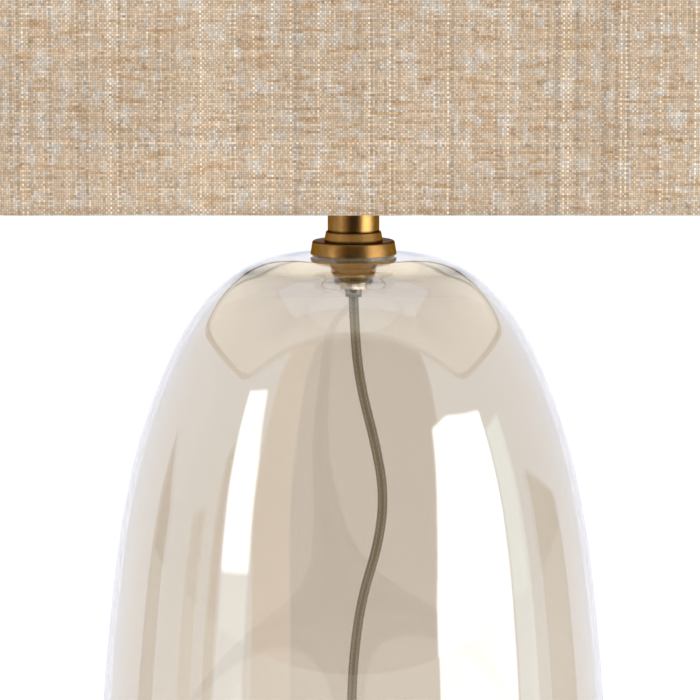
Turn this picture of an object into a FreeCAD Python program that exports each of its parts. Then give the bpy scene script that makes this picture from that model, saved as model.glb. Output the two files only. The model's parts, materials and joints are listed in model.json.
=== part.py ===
import FreeCAD, Part
import math
import os
import re
import Sketcher

# Table lamp: a clear glass dome stands on four clear pads, a brass neck is clamped through its crown, and a
# rectangular linen shade hangs on a harp over an E26 socket and bulb. Millimetres, +Z up, origin under the
# middle of the base on the table, X along the shade's long side, -Y to the front.

doc = FreeCAD.newDocument("TableLamp")
sheet = doc.addObject("Spreadsheet::Sheet", "Dimensions")

DIMENSIONS = {
    # glass dome: curves a to i run down the outside, each to the slope given in degrees from the horizontal
    "glass_height": 376.0,
    "glass_wall": 4.0,
    "crown_thickness": 5.2,
    "crown_flat_radius": 34.7,
    "crown_hole_radius": 7.0,
    "curve_a_radius": 52.8,
    "curve_a_slope": 30.0,
    "curve_b_radius": 79.8,
    "curve_b_slope": 50.0,
    "curve_c_radius": 139.2,
    "curve_c_slope": 65.0,
    "curve_d_radius": 334.7,
    "curve_d_slope": 78.0,
    "curve_e_radius": 560.0,
    "curve_e_slope": 83.0,
    "curve_f_radius": 1500.0,
    "curve_f_slope": 85.5,
    "curve_g_radius": 700.0,
    "curve_g_slope": 90.0,
    "curve_h_radius": 200.0,
    "curve_h_slope": 102.0,
    "curve_i_radius": 52.0,
    "curve_i_slope": 154.0,
    "foot_ring_width": 7.0,
    "foot_ring_height": 4.5,
    "bumper_radius": 3.2,
    "bumper_height": 2.0,
    # cord hole low at the back of the glass
    "cord_hole_radius": 5.5,
    "cord_hole_tilt": 10.0,
    "grommet_flange_radius": 8.0,
    "grommet_flange_height": 2.0,
    "grommet_groove": 4.5,
    "grommet_play": 0.4,
    "grommet_bore_radius": 2.95,
    "grommet_collar_radius": 5.0,
    "grommet_collar_height": 3.5,
    "grommet_chamfer": 0.7,
    # brass neck above the crown
    "gasket_radius": 23.0,
    "gasket_thickness": 1.3,
    "flange_bottom_radius": 24.1,
    "flange_top_radius": 23.1,
    "flange_height": 7.4,
    "flange_round": 1.2,
    "ring_bottom_radius": 16.45,
    "ring_top_radius": 15.5,
    "ring_height": 5.4,
    "ring_round": 1.0,
    "neck_radius": 14.4,
    "neck_wall": 1.2,
    "neck_height": 37.2,
    "neck_cap_radius": 15.6,
    "neck_cap_height": 3.0,
    "neck_cap_chamfer": 1.0,
    "rod_clearance_radius": 5.3,
    # threaded tube and the clamp under the crown
    "nipple_radius": 5.1,
    "nipple_bore_radius": 3.5,
    "nipple_end_below_nut": 3.6,
    "nipple_end_above_saddle": 10.0,
    "thread_pitch": 0.94,
    "thread_depth": 0.5,
    "bush_radius": 11.0,
    "bush_height": 2.4,
    "bush_spigot_radius": 6.8,
    "bush_spigot_height": 4.6,
    "bush_chamfer": 0.8,
    "washer_radius": 10.0,
    "washer_thickness": 1.2,
    "nut_across_flats": 14.0,
    "nut_height": 4.8,
    "nut_play": 0.1,
    "nut_turn": 24.0,
    "bushing_lip_radius": 4.6,
    "bushing_lip_height": 2.5,
    "bushing_sleeve_radius": 3.4,
    "bushing_sleeve_height": 6.0,
    "bushing_bore_radius": 2.95,
    "bushing_chamfer": 0.6,
    # harp
    "saddle_thickness": 2.0,
    "saddle_half_length": 33.0,
    "saddle_width": 12.0,
    "saddle_rise": 7.0,
    "saddle_shelf": 2.6,
    "harp_foot_offset": 30.5,
    "harp_wire_radius": 1.6,
    "harp_half_width": 57.0,
    "harp_leg": 34.0,
    "harp_shoulder_inset": 10.0,
    "harp_shoulder_rise": 72.0,
    "harp_side_start": 118.0,
    "harp_side_end": 160.0,
    "harp_turn_inset": 13.0,
    "harp_turn_drop": 29.0,
    "harp_top_inset": 34.0,
    "harp_top_drop": 5.0,
    "harp_top_half": 14.0,
    "post_height": 6.0,
    "ferrule_radius": 4.4,
    "ferrule_bore_radius": 2.3,
    "ferrule_rim": 0.5,
    "ferrule_rim_height": 1.5,
    "ferrule_rim_slope": 0.7,
    "ferrule_chamfer": 1.0,
    "ferrule_height": 16.0,
    "stud_radius": 3.1,
    "stud_height": 15.0,
    "stud_chamfer": 0.8,
    "stud_collar_radius": 6.0,
    "stud_collar_height": 5.0,
    # shade
    "shade_width": 457.0,
    "shade_depth": 254.0,
    "shade_height": 279.0,
    "shade_corner_radius": 42.0,
    "shade_above_flange": 33.8,
    "linen_thickness": 0.8,
    "liner_thickness": 0.6,
    "hem_depth": 5.3,
    "hem_height": 9.0,
    "shade_wire_radius": 1.5,
    "shade_wire_inset": 2.95,
    "spider_drop": 12.0,
    "spider_flat_end": 34.0,
    "spider_rise_end": 86.0,
    "spider_overlap": 3.0,
    "shade_wire_play": 0.05,
    "hub_radius": 12.0,
    "hub_thickness": 2.0,
    "hub_bore_radius": 3.4,
    "body_gap": 0.3,
    # finial
    "finial_base_radius": 8.5,
    "finial_base_height": 3.5,
    "finial_base_chamfer": 1.5,
    "finial_neck_rise": 2.5,
    "finial_waist_rise": 1.2,
    "finial_neck_radius": 4.6,
    "finial_ball_radius": 9.0,
    "finial_height": 34.0,
    "finial_bore_radius": 3.3,
    "finial_bore_depth": 15.0,
    # E26 socket
    "cap_hub_radius": 9.0,
    "cap_hub_height": 4.0,
    "cap_rim_radius": 18.0,
    "cap_height": 20.0,
    "sheet_brass": 0.7,
    "shell_radius": 17.2,
    "shell_start": 14.0,
    "shell_height": 48.0,
    "shell_bead_height": 3.0,
    "shell_bead_radius": 1.9,
    "insulator_radius": 16.4,
    "insulator_thickness": 0.5,
    "insulator_start": 3.0,
    "insulator_shortfall": 8.0,
    "socket_body_radius": 12.6,
    "socket_body_start": 19.0,
    "socket_body_height": 16.0,
    "socket_body_chamfer": 1.0,
    "socket_body_step": 3.0,
    "screw_shell_radius": 14.0,
    "screw_shell_height": 22.0,
    "screw_shell_wall": 0.5,
    "contact_radius": 5.0,
    "contact_height": 1.2,
    "terminal_radius": 3.0,
    "terminal_height": 2.0,
    "terminal_rise": 3.0,
    "switch_height": 27.0,
    "switch_hole_radius": 2.6,
    "switch_shaft_radius": 1.5,
    "switch_shaft_length": 16.0,
    "switch_shaft_gap": 0.4,
    "knob_radius": 4.0,
    "knob_length": 19.0,
    "knob_paddle_length": 12.0,
    "knob_gap": 1.6,
    "knob_paddle_width": 15.0,
    "knob_paddle_thickness": 3.6,
    "set_screw_radius": 1.4,
    "set_screw_length": 5.0,
    "set_screw_gap": 3.7,
    "set_screw_rise": 2.0,
    # A19 bulb
    "bulb_thread_radius": 12.8,
    "bulb_thread_depth": 0.6,
    "bulb_thread_start": 0.6,
    "bulb_foot_inset": 2.0,
    "bulb_thread_pitch": 3.6,
    "bulb_thread_height": 18.0,
    "bulb_collar_height": 5.0,
    "bulb_tip_radius": 4.7,
    "bulb_tip_height": 1.6,
    "bulb_insulator_height": 3.0,
    "globe_radius": 30.0,
    "globe_neck_radius": 12.6,
    "globe_neck_height": 6.0,
    "globe_wall": 0.8,
    # cord and plug
    "cord_radius": 2.8,
    "cord_hole_reach": 26.0,
    "cord_table_gap": 0.2,
    "coil_middle_radius": 31.2,
    "coil_pitch": 5.8,
    "coil_bundle_width": 17.4,
    "coil_bundle_height": 9.6,
    "coil_lift": 1.0,
    "coil_centre_x": -30.0,
    "coil_centre_y": 207.0,
    "tie_width": 9.0,
    "tie_thickness": 0.9,
    "tie_play": 0.05,
    "plug_length": 25.0,
    "plug_width": 24.0,
    "plug_thickness": 13.0,
    "relief_length": 20.0,
    "blade_length": 16.5,
    "blade_width": 6.3,
    "blade_thickness": 1.5,
    "blade_spacing": 12.7,
}

CURVES = "abcdefghi"
BUMPERS = 4
THREAD_RIDGES = 5
BULB_RIDGES = 5
RUN_SHARE = 0.45
LEAD_RADIUS = 0.8


def write_dimensions():
    for row, (alias, number) in enumerate(DIMENSIONS.items(), 1):
        sheet.set(f"A{row}", alias.replace("_", " "))
        sheet.set(f"B{row}", str(number))
        sheet.setAlias(f"B{row}", alias)
    doc.recompute()


def bound(text):
    """The text as an expression that reads its words from the sheet."""

    def in_sheet(word):
        return "Dimensions." + word[0] if word[0] in DIMENSIONS else word[0]

    return re.sub(r"[a-z_]+", in_sheet, text)


def value(text):
    return float(sheet.evalExpression(bound(text)))


def place(piece, base="0", across="0", back="0"):
    """Binds where a piece stands; each text is a sum of the sheet's names."""
    piece.setExpression("Placement.Base.x", bound(across))
    piece.setExpression("Placement.Base.y", bound(back))
    piece.setExpression("Placement.Base.z", bound(base))
    return piece


# ---- sketches -----------------------------------------------------------------------------------------------


def new_sketch(body, plane, name, raised="0"):
    sketch = body.newObject("Sketcher::SketchObject", name)
    face = next(feature for feature in body.Origin.OriginFeatures if feature.Role == plane)
    sketch.AttachmentSupport = (face, [""])
    sketch.MapMode = "FlatFace"
    sketch.setExpression("AttachmentOffset.Base.z", bound(raised))
    return sketch


def bind_datum(sketch, kind, where, text):
    """Fixes one coordinate of a vertex by a dimension bound to the sheet, or on the axis where it is zero."""
    number = value(text)
    if abs(number) < 1e-9:
        sketch.addConstraint(Sketcher.Constraint("PointOnObject", *where, -2 if kind == "DistanceX" else -1))
        return
    index = sketch.addConstraint(Sketcher.Constraint(kind, -1, 1, *where, number))
    sketch.setExpression(f"Constraints[{index}]", bound(text))


def arc_between(start, end, radius, way):
    """The shorter arc from start to end; way is 1 where it turns left and -1 where it turns right."""
    chord = end - start
    side = FreeCAD.Vector(-chord.y, chord.x, 0).normalize() * way
    centre = (start + end) * 0.5 + side * math.sqrt(radius**2 - (chord.Length / 2) ** 2)
    first, last = (start, end) if way > 0 else (end, start)
    angles = [math.atan2(point.y - centre.y, point.x - centre.x) for point in (first, last)]
    if angles[1] < angles[0]:
        angles[1] += 2 * math.pi
    circle = Part.Circle(centre, FreeCAD.Vector(0, 0, 1), radius)
    return Part.ArcOfCircle(circle, *angles)


def add_outline(sketch, points):
    """A closed outline. Each point is (x, y), or (x, y, radius, way) where an arc leads to the next point."""
    spots = [FreeCAD.Vector(value(point[0]), value(point[1]), 0) for point in points]
    ends = []
    for index, point in enumerate(points):
        start, end = spots[index], spots[(index + 1) % len(points)]
        if len(point) == 2:
            edge = sketch.addGeometry(Part.LineSegment(start, end))
            ends.append(((edge, 1), (edge, 2)))
        else:
            edge = sketch.addGeometry(arc_between(start, end, value(point[2]), point[3]))
            ends.append(((edge, 1), (edge, 2)) if point[3] > 0 else ((edge, 2), (edge, 1)))
    for index, point in enumerate(points):
        following = ends[(index + 1) % len(points)][0]
        sketch.addConstraint(Sketcher.Constraint("Coincident", *ends[index][1], *following))
        bind_datum(sketch, "DistanceX", ends[index][0], point[0])
        bind_datum(sketch, "DistanceY", ends[index][0], point[1])
        if len(point) > 2:
            edge = ends[index][0][0]
            radius = sketch.addConstraint(Sketcher.Constraint("Radius", edge, value(point[2])))
            sketch.setExpression(f"Constraints[{radius}]", bound(point[2]))


def add_circle(sketch, radius, x="0", y="0"):
    centre = FreeCAD.Vector(value(x), value(y), 0)
    edge = sketch.addGeometry(Part.Circle(centre, FreeCAD.Vector(0, 0, 1), value(radius)))
    bind_datum(sketch, "DistanceX", (edge, 3), x)
    bind_datum(sketch, "DistanceY", (edge, 3), y)
    index = sketch.addConstraint(Sketcher.Constraint("Radius", edge, value(radius)))
    sketch.setExpression(f"Constraints[{index}]", bound(radius))


def rounded_rectangle(half_width, half_depth, radius):
    """The corners of a rectangle with round corners, anticlockwise, as an outline's points."""
    wide, deep, bend = f"({half_width})", f"({half_depth})", f"({radius})"
    return [
        (wide, f"-{deep} + {bend}"),
        (wide, f"{deep} - {bend}", bend, 1),
        (f"{wide} - {bend}", deep),
        (f"-{wide} + {bend}", deep, bend, 1),
        (f"-{wide}", f"{deep} - {bend}"),
        (f"-{wide}", f"-{deep} + {bend}", bend, 1),
        (f"-{wide} + {bend}", f"-{deep}"),
        (f"{wide} - {bend}", f"-{deep}", bend, 1),
    ]


def rectangle(left, right, low, high):
    return [(left, low), (right, low), (right, high), (left, high)]


# ---- features -----------------------------------------------------------------------------------------------


def turned(label, points, base=None):
    """A body turned about its own Z axis from an outline of (radius, height) points, raised to a base."""
    body = doc.addObject("PartDesign::Body", label)
    profile = new_sketch(body, "XZ_Plane", label + "_profile")
    add_outline(profile, points)
    turn = body.newObject("PartDesign::Revolution", label + "_turn")
    turn.Profile = profile
    turn.ReferenceAxis = (profile, ["V_Axis"])
    turn.Angle = 360
    return place(body, base) if base else body


def pad(body, sketch, length, name, both_ways=False):
    feature = body.newObject("PartDesign::Pad", name)
    feature.Profile = sketch
    feature.setExpression("Length", bound(length))
    feature.Midplane = both_ways
    return feature


def hollow_disc(label, outer, inner, height, base):
    return turned(label, rectangle(inner, outer, "0", height), base)


def cylinder(label, radius, height):
    piece = doc.addObject("Part::Cylinder", label)
    piece.setExpression("Radius", bound(radius))
    piece.setExpression("Height", bound(height))
    return piece


def cut(label, base, *tools):
    """The base with tools taken away, as a chain of cuts whose last one has the label."""
    for index, tool in enumerate(tools):
        result = doc.addObject("Part::Cut", label if index == len(tools) - 1 else f"{label}_cut_{index}")
        result.Base = base
        result.Tool = tool
        base = result
    return base


def group(label, pieces):
    compound = doc.addObject("Part::Compound", label)
    compound.Links = pieces
    return compound


def path_through(points, share=RUN_SHARE):
    """Straight runs joined by tangent arcs, each as large as its shorter run allows, with their radii."""
    spots = [FreeCAD.Vector(*point) for point in points]
    edges, radii, last = [], [], spots[0]
    for before, corner, after in zip(spots, spots[1:], spots[2:]):
        back = (before - corner).normalize()
        ahead = (after - corner).normalize()
        setback = share * min((before - corner).Length, (after - corner).Length)
        start, end = corner + back * setback, corner + ahead * setback
        half_turn = (math.pi - back.getAngle(ahead)) / 2
        radius = setback / math.tan(half_turn)
        middle_way = (back + ahead).normalize()
        middle = corner + middle_way * (radius / math.cos(half_turn) - radius)
        edges.append(Part.LineSegment(last, start).toShape())
        edges.append(Part.Arc(start, middle, end).toShape())
        radii.append(radius)
        last = end
    edges.append(Part.LineSegment(last, spots[-1]).toShape())
    return Part.Wire(edges), radii


def sweep(wire, radius):
    """A round bar of that radius along a wire."""
    start = wire.Edges[0].valueAt(wire.Edges[0].FirstParameter)
    along = wire.Edges[0].tangentAt(wire.Edges[0].FirstParameter)
    section = Part.Wire(Part.Circle(start, along, radius).toShape())
    return wire.makePipeShell([section], True, False)


def round_bar(points, radius):
    wire, radii = path_through(points)
    return sweep(wire, radius), wire, radii


def shaped(label, shape):
    piece = doc.addObject("Part::Feature", label)
    piece.Shape = shape
    return piece


# ---- heights above the table --------------------------------------------------------------------------------

GLASS_TOP = "bumper_height + glass_height"
FLANGE_BASE = GLASS_TOP + " + gasket_thickness"
RING_BASE = FLANGE_BASE + " + flange_height"
NECK_BASE = RING_BASE + " + ring_height"
NECK_TOP = NECK_BASE + " + neck_height"
SADDLE_BASE = NECK_TOP + " + neck_cap_height"
SOCKET_BASE = SADDLE_BASE + " + saddle_thickness"
CROWN_UNDERSIDE = GLASS_TOP + " - crown_thickness"
NUT_BASE = CROWN_UNDERSIDE + " - bush_height - washer_thickness - nut_height"
NIPPLE_BASE = NUT_BASE + " - nipple_end_below_nut"
SHADE_BASE = FLANGE_BASE + " + shade_above_flange"
SHADE_TOP = SHADE_BASE + " + shade_height"
HUB_BASE = SHADE_TOP + " - spider_drop"
STUD_COLLAR_BASE = HUB_BASE + " - body_gap - stud_collar_height"
BODY_BASE = SOCKET_BASE + " + socket_body_start"
SCREW_SHELL_BASE = BODY_BASE + " + socket_body_height"
BULB_BASE = SCREW_SHELL_BASE + " + contact_height + body_gap"
SWITCH_AXIS = SOCKET_BASE + " + switch_height"


# ---- glass dome ---------------------------------------------------------------------------------------------


def slope(curve):
    return f"curve_{curve}_slope * 1 deg"


def dome_joints():
    """Where each outer curve ends, as (radius, height above the foot)."""
    radius, height, tilt = "crown_flat_radius", "glass_height", "0 deg"
    joints = {}
    for curve in CURVES:
        bend, end = f"curve_{curve}_radius", slope(curve)
        radius += f" + {bend} * (sin({end}) - sin({tilt}))"
        height += f" - {bend} * (cos({tilt}) - cos({end}))"
        tilt = end
        joints[curve] = (radius, height)
    return joints


JOINTS = dome_joints()
FOOT_RADIUS = JOINTS[CURVES[-1]][0]


def inner_joint(curve):
    radius, height = JOINTS[curve]
    return f"{radius} - glass_wall * sin({slope(curve)})", f"{height} - glass_wall * cos({slope(curve)})"


def dome_outline():
    """Down the outside, across the ground foot, up the inside a wall's thickness in, and under the crown."""
    points = [("crown_hole_radius", "glass_height")]
    points.append(("crown_flat_radius", "glass_height", "curve_a_radius", -1))
    for curve, following in zip(CURVES, CURVES[1:]):
        points.append((*JOINTS[curve], f"curve_{following}_radius", -1))
    points.append(JOINTS[CURVES[-1]])
    points += [(FOOT_RADIUS, "0"), (f"{FOOT_RADIUS} - foot_ring_width", "0")]
    points.append((f"{FOOT_RADIUS} - foot_ring_width", "foot_ring_height"))
    for curve in reversed(CURVES[2:]):
        points.append((*inner_joint(curve), f"curve_{curve}_radius - glass_wall", 1))
    radius, height = inner_joint("b")
    underside = "glass_height - crown_thickness"
    bend = f"({underside} - ({height})) / (1 - cos({slope('b')}))"
    points.append((radius, height, bend, 1))
    points.append((f"{radius} - {bend} * sin({slope('b')})", underside))
    points.append(("crown_hole_radius", underside))
    return points


def cord_hole_placement():
    """Square to the glass at the back, in the curve under its widest line, with local Z pointing out of it."""
    tilt = math.radians(value("cord_hole_tilt"))
    widest_radius, widest_height = (value(text) for text in JOINTS["g"])
    bend = value("curve_h_radius")
    back = widest_radius - bend * (1 - math.cos(tilt))
    up = widest_height - bend * math.sin(tilt) + value("bumper_height")
    turn = FreeCAD.Rotation(FreeCAD.Vector(1, 0, 0), -90 - math.degrees(tilt))
    return FreeCAD.Placement(FreeCAD.Vector(0, back, up), turn)


def from_cord_hole(distance):
    """A placement on the cord hole's axis, that far out from the glass's outer face."""
    shift = FreeCAD.Placement(FreeCAD.Vector(0, 0, distance), FreeCAD.Rotation())
    return cord_hole_placement().multiply(shift)


def make_glass():
    blank = turned("glass_blank", dome_outline(), "bumper_height")
    drill = cylinder("cord_hole_drill", "cord_hole_radius", "glass_wall * 5")
    drill.Placement = from_cord_hole(-value("glass_wall * 3"))
    cut("glass_body", blank, drill)

    pads = []
    for index in range(BUMPERS):
        bumper = cylinder(f"bumper_{index}", "bumper_radius", "bumper_height")
        angle = f"{(index + 0.5) * 360 / BUMPERS} deg"
        out = f"({FOOT_RADIUS} - foot_ring_width / 2)"
        place(bumper, "0", f"{out} * cos({angle})", f"{out} * sin({angle})")
        pads.append(bumper)
    group("bumper_feet", pads)


def make_grommet():
    """Rubber, with a groove that grips the edge of the glass and a collar round the cord outside it."""
    flange = "grommet_flange_radius"
    groove = "(cord_hole_radius - body_gap)"
    top = "(grommet_groove + grommet_flange_height)"
    points = [
        ("grommet_bore_radius", "-grommet_flange_height"),
        (f"{flange} - grommet_chamfer", "-grommet_flange_height"),
        (flange, "-grommet_flange_height + grommet_chamfer"),
        (flange, "0"),
        (groove, "0"),
        (groove, "grommet_groove"),
        (flange, "grommet_groove"),
        (flange, f"{top} - grommet_chamfer"),
        (f"{flange} - grommet_chamfer", top),
        ("grommet_collar_radius", top),
        ("grommet_collar_radius", f"{top} + grommet_collar_height"),
        ("grommet_bore_radius", f"{top} + grommet_collar_height"),
    ]
    grommet = turned("cord_grommet", points)
    grommet.Placement = from_cord_hole(-value("glass_wall + grommet_play"))


# ---- brass neck and its clamp -------------------------------------------------------------------------------


def make_neck():
    hole = "rod_clearance_radius"
    hollow_disc("cap_gasket", "gasket_radius", hole, "gasket_thickness", GLASS_TOP)
    flange = [
        (hole, "0"),
        ("flange_bottom_radius", "0"),
        ("flange_top_radius", "flange_height - flange_round", "flange_round", 1),
        ("flange_top_radius - flange_round", "flange_height"),
        (hole, "flange_height"),
    ]
    turned("cap_flange", flange, FLANGE_BASE)
    ring = [
        (hole, "0"),
        ("ring_bottom_radius", "0"),
        ("ring_top_radius", "ring_height - ring_round", "ring_round", 1),
        ("ring_top_radius - ring_round", "ring_height"),
        (hole, "ring_height"),
    ]
    turned("neck_ring", ring, RING_BASE)
    hollow_disc("neck_tube", "neck_radius", "neck_radius - neck_wall", "neck_height", NECK_BASE)
    cap = [
        (hole, "0"),
        ("neck_cap_radius", "0"),
        ("neck_cap_radius", "neck_cap_height - neck_cap_chamfer"),
        ("neck_cap_radius - neck_cap_chamfer", "neck_cap_height"),
        (hole, "neck_cap_height"),
    ]
    turned("neck_cap", cap, NECK_TOP)


def threaded_outline(length):
    """A hollow rod whose lower end shows its thread as ridges."""
    points = [("nipple_bore_radius", "0")]
    for ridge in range(THREAD_RIDGES):
        low = f"{ridge} * thread_pitch"
        points.append(("nipple_radius - thread_depth", low))
        points.append(("nipple_radius", f"{low} + thread_pitch / 2"))
    points.append(("nipple_radius - thread_depth", f"{THREAD_RIDGES} * thread_pitch"))
    points.append(("nipple_radius", f"{THREAD_RIDGES} * thread_pitch + thread_depth / 2"))
    points.append(("nipple_radius", length))
    points.append(("nipple_bore_radius", length))
    return points


def make_clamp():
    length = f"({SOCKET_BASE} + nipple_end_above_saddle) - ({NIPPLE_BASE})"
    turned("threaded_nipple", threaded_outline(length), NIPPLE_BASE)

    bush_base = CROWN_UNDERSIDE + " - bush_height"
    bush = [
        ("rod_clearance_radius", "0"),
        ("bush_radius - bush_chamfer", "0"),
        ("bush_radius", "bush_chamfer"),
        ("bush_radius", "bush_height"),
        ("bush_spigot_radius", "bush_height"),
        ("bush_spigot_radius", "bush_height + bush_spigot_height"),
        ("rod_clearance_radius", "bush_height + bush_spigot_height"),
    ]
    turned("centering_bush", bush, bush_base)
    washer_base = bush_base + " - washer_thickness"
    hollow_disc("steel_washer", "washer_radius", "rod_clearance_radius", "washer_thickness", washer_base)

    nut = doc.addObject("PartDesign::Body", "hex_nut")
    profile = new_sketch(nut, "XY_Plane", "hex_nut_profile")
    corner = "nut_across_flats / 2 / cos(30 deg)"
    angles = [f"(nut_turn + {60 * index}) * 1 deg" for index in range(6)]
    add_outline(profile, [(f"{corner} * cos({angle})", f"{corner} * sin({angle})") for angle in angles])
    add_circle(profile, "nipple_radius + nut_play")
    pad(nut, profile, "nut_height", "hex_nut_pad")
    place(nut, NUT_BASE)

    top = "(bushing_lip_height + bushing_sleeve_height)"
    bushing = [
        ("bushing_bore_radius", "0"),
        ("bushing_lip_radius - bushing_chamfer", "0"),
        ("bushing_lip_radius", "bushing_chamfer"),
        ("bushing_lip_radius", "bushing_lip_height"),
        ("bushing_sleeve_radius", "bushing_lip_height"),
        ("bushing_sleeve_radius", top),
        ("bushing_bore_radius", top),
    ]
    turned("nipple_bushing", bushing, NIPPLE_BASE + " - bushing_lip_height")


# ---- harp ---------------------------------------------------------------------------------------------------


def make_saddle():
    """A bent strap: a flat seat under the socket, and two ends turned up, each with a post for the harp."""
    saddle = doc.addObject("PartDesign::Body", "harp_saddle")
    profile = new_sketch(saddle, "XZ_Plane", "harp_saddle_profile")
    end, thick, rise = "saddle_half_length", "saddle_thickness", "saddle_rise"
    shelf = "(harp_foot_offset - saddle_shelf)"
    strap = [
        (f"-{end}", "0"),
        (end, "0"),
        (end, rise),
        (shelf, rise),
        (shelf, thick),
        (f"-{shelf}", thick),
        (f"-{shelf}", rise),
        (f"-{end}", rise),
    ]
    add_outline(profile, strap)
    pad(saddle, profile, "saddle_width", "harp_saddle_strap", True)
    posts = new_sketch(saddle, "XY_Plane", "harp_saddle_posts", rise)
    add_circle(posts, "harp_wire_radius", "harp_foot_offset")
    add_circle(posts, "harp_wire_radius", "-harp_foot_offset")
    pad(saddle, posts, "post_height", "harp_saddle_post_pad")
    doc.recompute()
    before = saddle.Shape.Volume
    hole = new_sketch(saddle, "XY_Plane", "harp_saddle_hole")
    add_circle(hole, "rod_clearance_radius")
    pocket = saddle.newObject("PartDesign::Pocket", "harp_saddle_pocket")
    pocket.Profile = hole
    pocket.Type = "ThroughAll"
    pocket.Midplane = True
    doc.recompute()
    assert saddle.Shape.Volume < before - 1, "the saddle's hole cut nothing"
    place(saddle, SADDLE_BASE)


def make_harp():
    foot, wide = value("harp_foot_offset"), value("harp_half_width")
    base = value(SADDLE_BASE + " + saddle_rise + post_height")
    top = value(STUD_COLLAR_BASE + " + stud_collar_height / 2")
    # the wire leaves its foot upright, bows out, and comes in over the bulb to the stud
    right = [
        (foot, 0, base),
        (foot, 0, base + value("harp_leg")),
        (wide - value("harp_shoulder_inset"), 0, base + value("harp_shoulder_rise")),
        (wide, 0, base + value("harp_side_start")),
        (wide, 0, base + value("harp_side_end")),
        (wide - value("harp_turn_inset"), 0, top - value("harp_turn_drop")),
        (wide - value("harp_top_inset"), 0, top - value("harp_top_drop")),
        (value("harp_top_half"), 0, top),
    ]
    left = [(-x, y, z) for x, y, z in reversed(right)]
    bar, _, radii = round_bar(right + left, value("harp_wire_radius"))
    shaped("harp_wire", bar)
    print("harp bend radii", [round(radius) for radius in radii])

    stud = [
        ("0", "0"),
        ("stud_collar_radius", "0"),
        ("stud_collar_radius", "stud_collar_height"),
        ("stud_radius", "stud_collar_height"),
        ("stud_radius", "stud_collar_height + stud_height - stud_chamfer"),
        ("stud_radius - stud_chamfer", "stud_collar_height + stud_height"),
        ("0", "stud_collar_height + stud_height"),
    ]
    turned("harp_stud", stud, STUD_COLLAR_BASE)

    for name, side in (("left", "-"), ("right", "")):
        points = [
            ("ferrule_bore_radius", "0"),
            ("ferrule_radius + ferrule_rim", "0"),
            ("ferrule_radius + ferrule_rim", "ferrule_rim_height"),
            ("ferrule_radius", "ferrule_rim_height + ferrule_rim_slope"),
            ("ferrule_radius", "ferrule_height - ferrule_chamfer"),
            ("ferrule_radius - ferrule_chamfer", "ferrule_height"),
            ("ferrule_bore_radius", "ferrule_height"),
        ]
        ferrule = turned(f"harp_ferrule_{name}", points)
        place(ferrule, SADDLE_BASE + " + saddle_rise + body_gap", f"{side}harp_foot_offset")


# ---- socket -------------------------------------------------------------------------------------------------


def side_bore(name, radius, height):
    """A drill along -Y, for the switch shaft's holes."""
    drill = cylinder(name, radius, "shell_radius * 2")
    drill.Placement = FreeCAD.Placement(
        FreeCAD.Vector(0, 0, value(height)), FreeCAD.Rotation(FreeCAD.Vector(1, 0, 0), 90)
    )
    return drill


def make_socket():
    hub, thin = "cap_hub_radius", "sheet_brass"
    flare = "(cap_rim_radius - cap_hub_radius)"
    cap = [
        ("rod_clearance_radius", "0"),
        (hub, "0"),
        (hub, "cap_hub_height", flare, -1),
        ("cap_rim_radius", f"cap_hub_height + {flare}"),
        ("cap_rim_radius", "cap_height"),
        (f"cap_rim_radius - {thin}", "cap_height"),
        (f"cap_rim_radius - {thin}", f"cap_hub_height + {flare}", f"{flare} - {thin}", 1),
        (hub, f"cap_hub_height + {thin}"),
        ("rod_clearance_radius", f"cap_hub_height + {thin}"),
    ]
    turned("socket_cap", cap, SOCKET_BASE)

    screw_height = SOCKET_BASE + " + set_screw_rise"
    screw = cylinder("socket_set_screw", "set_screw_radius", "set_screw_length")
    screw.Placement = FreeCAD.Placement(
        FreeCAD.Vector(0, value("rod_clearance_radius + set_screw_gap + set_screw_length"), value(screw_height)),
        FreeCAD.Rotation(FreeCAD.Vector(1, 0, 0), 90),
    )

    shell = [
        (f"shell_radius - {thin}", "0"),
        ("shell_radius", "0"),
        ("shell_radius", "shell_height - shell_bead_height", "shell_bead_radius", 1),
        ("shell_radius", "shell_height"),
        (f"shell_radius - {thin}", "shell_height"),
    ]
    shell_blank = turned("socket_shell_blank", shell, SOCKET_BASE + " + shell_start")
    cut("socket_shell", shell_blank, side_bore("shell_drill", "switch_hole_radius", SWITCH_AXIS))
    sleeve = hollow_disc(
        "insulator_blank",
        "insulator_radius",
        "insulator_radius - insulator_thickness",
        "shell_height - insulator_shortfall",
        SOCKET_BASE + " + shell_start + insulator_start",
    )
    cut("socket_insulator", sleeve, side_bore("sleeve_drill", "switch_hole_radius", SWITCH_AXIS))

    body = [
        ("0", "0"),
        ("socket_body_radius - socket_body_chamfer", "0"),
        ("socket_body_radius", "socket_body_chamfer"),
        ("socket_body_radius", "socket_body_height - socket_body_step"),
        ("screw_shell_radius", "socket_body_height - socket_body_step"),
        ("screw_shell_radius", "socket_body_height"),
        ("0", "socket_body_height"),
    ]
    turned("socket_body", body, BODY_BASE)
    hollow_disc(
        "socket_screw_shell",
        "screw_shell_radius",
        "screw_shell_radius - screw_shell_wall",
        "screw_shell_height",
        SCREW_SHELL_BASE,
    )
    turned("socket_contact", rectangle("0", "contact_radius", "0", "contact_height"), SCREW_SHELL_BASE)

    heads = []
    terminal_height = BODY_BASE + " + terminal_radius + terminal_rise"
    for side in (-1, 1):
        head = cylinder(f"terminal_{'left' if side < 0 else 'right'}", "terminal_radius", "terminal_height")
        head.Placement = FreeCAD.Placement(
            FreeCAD.Vector(side * value("socket_body_radius"), 0, value(terminal_height)),
            FreeCAD.Rotation(FreeCAD.Vector(0, 1, 0), 90 * side),
        )
        heads.append(head)
    group("terminal_screws", heads)


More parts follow.
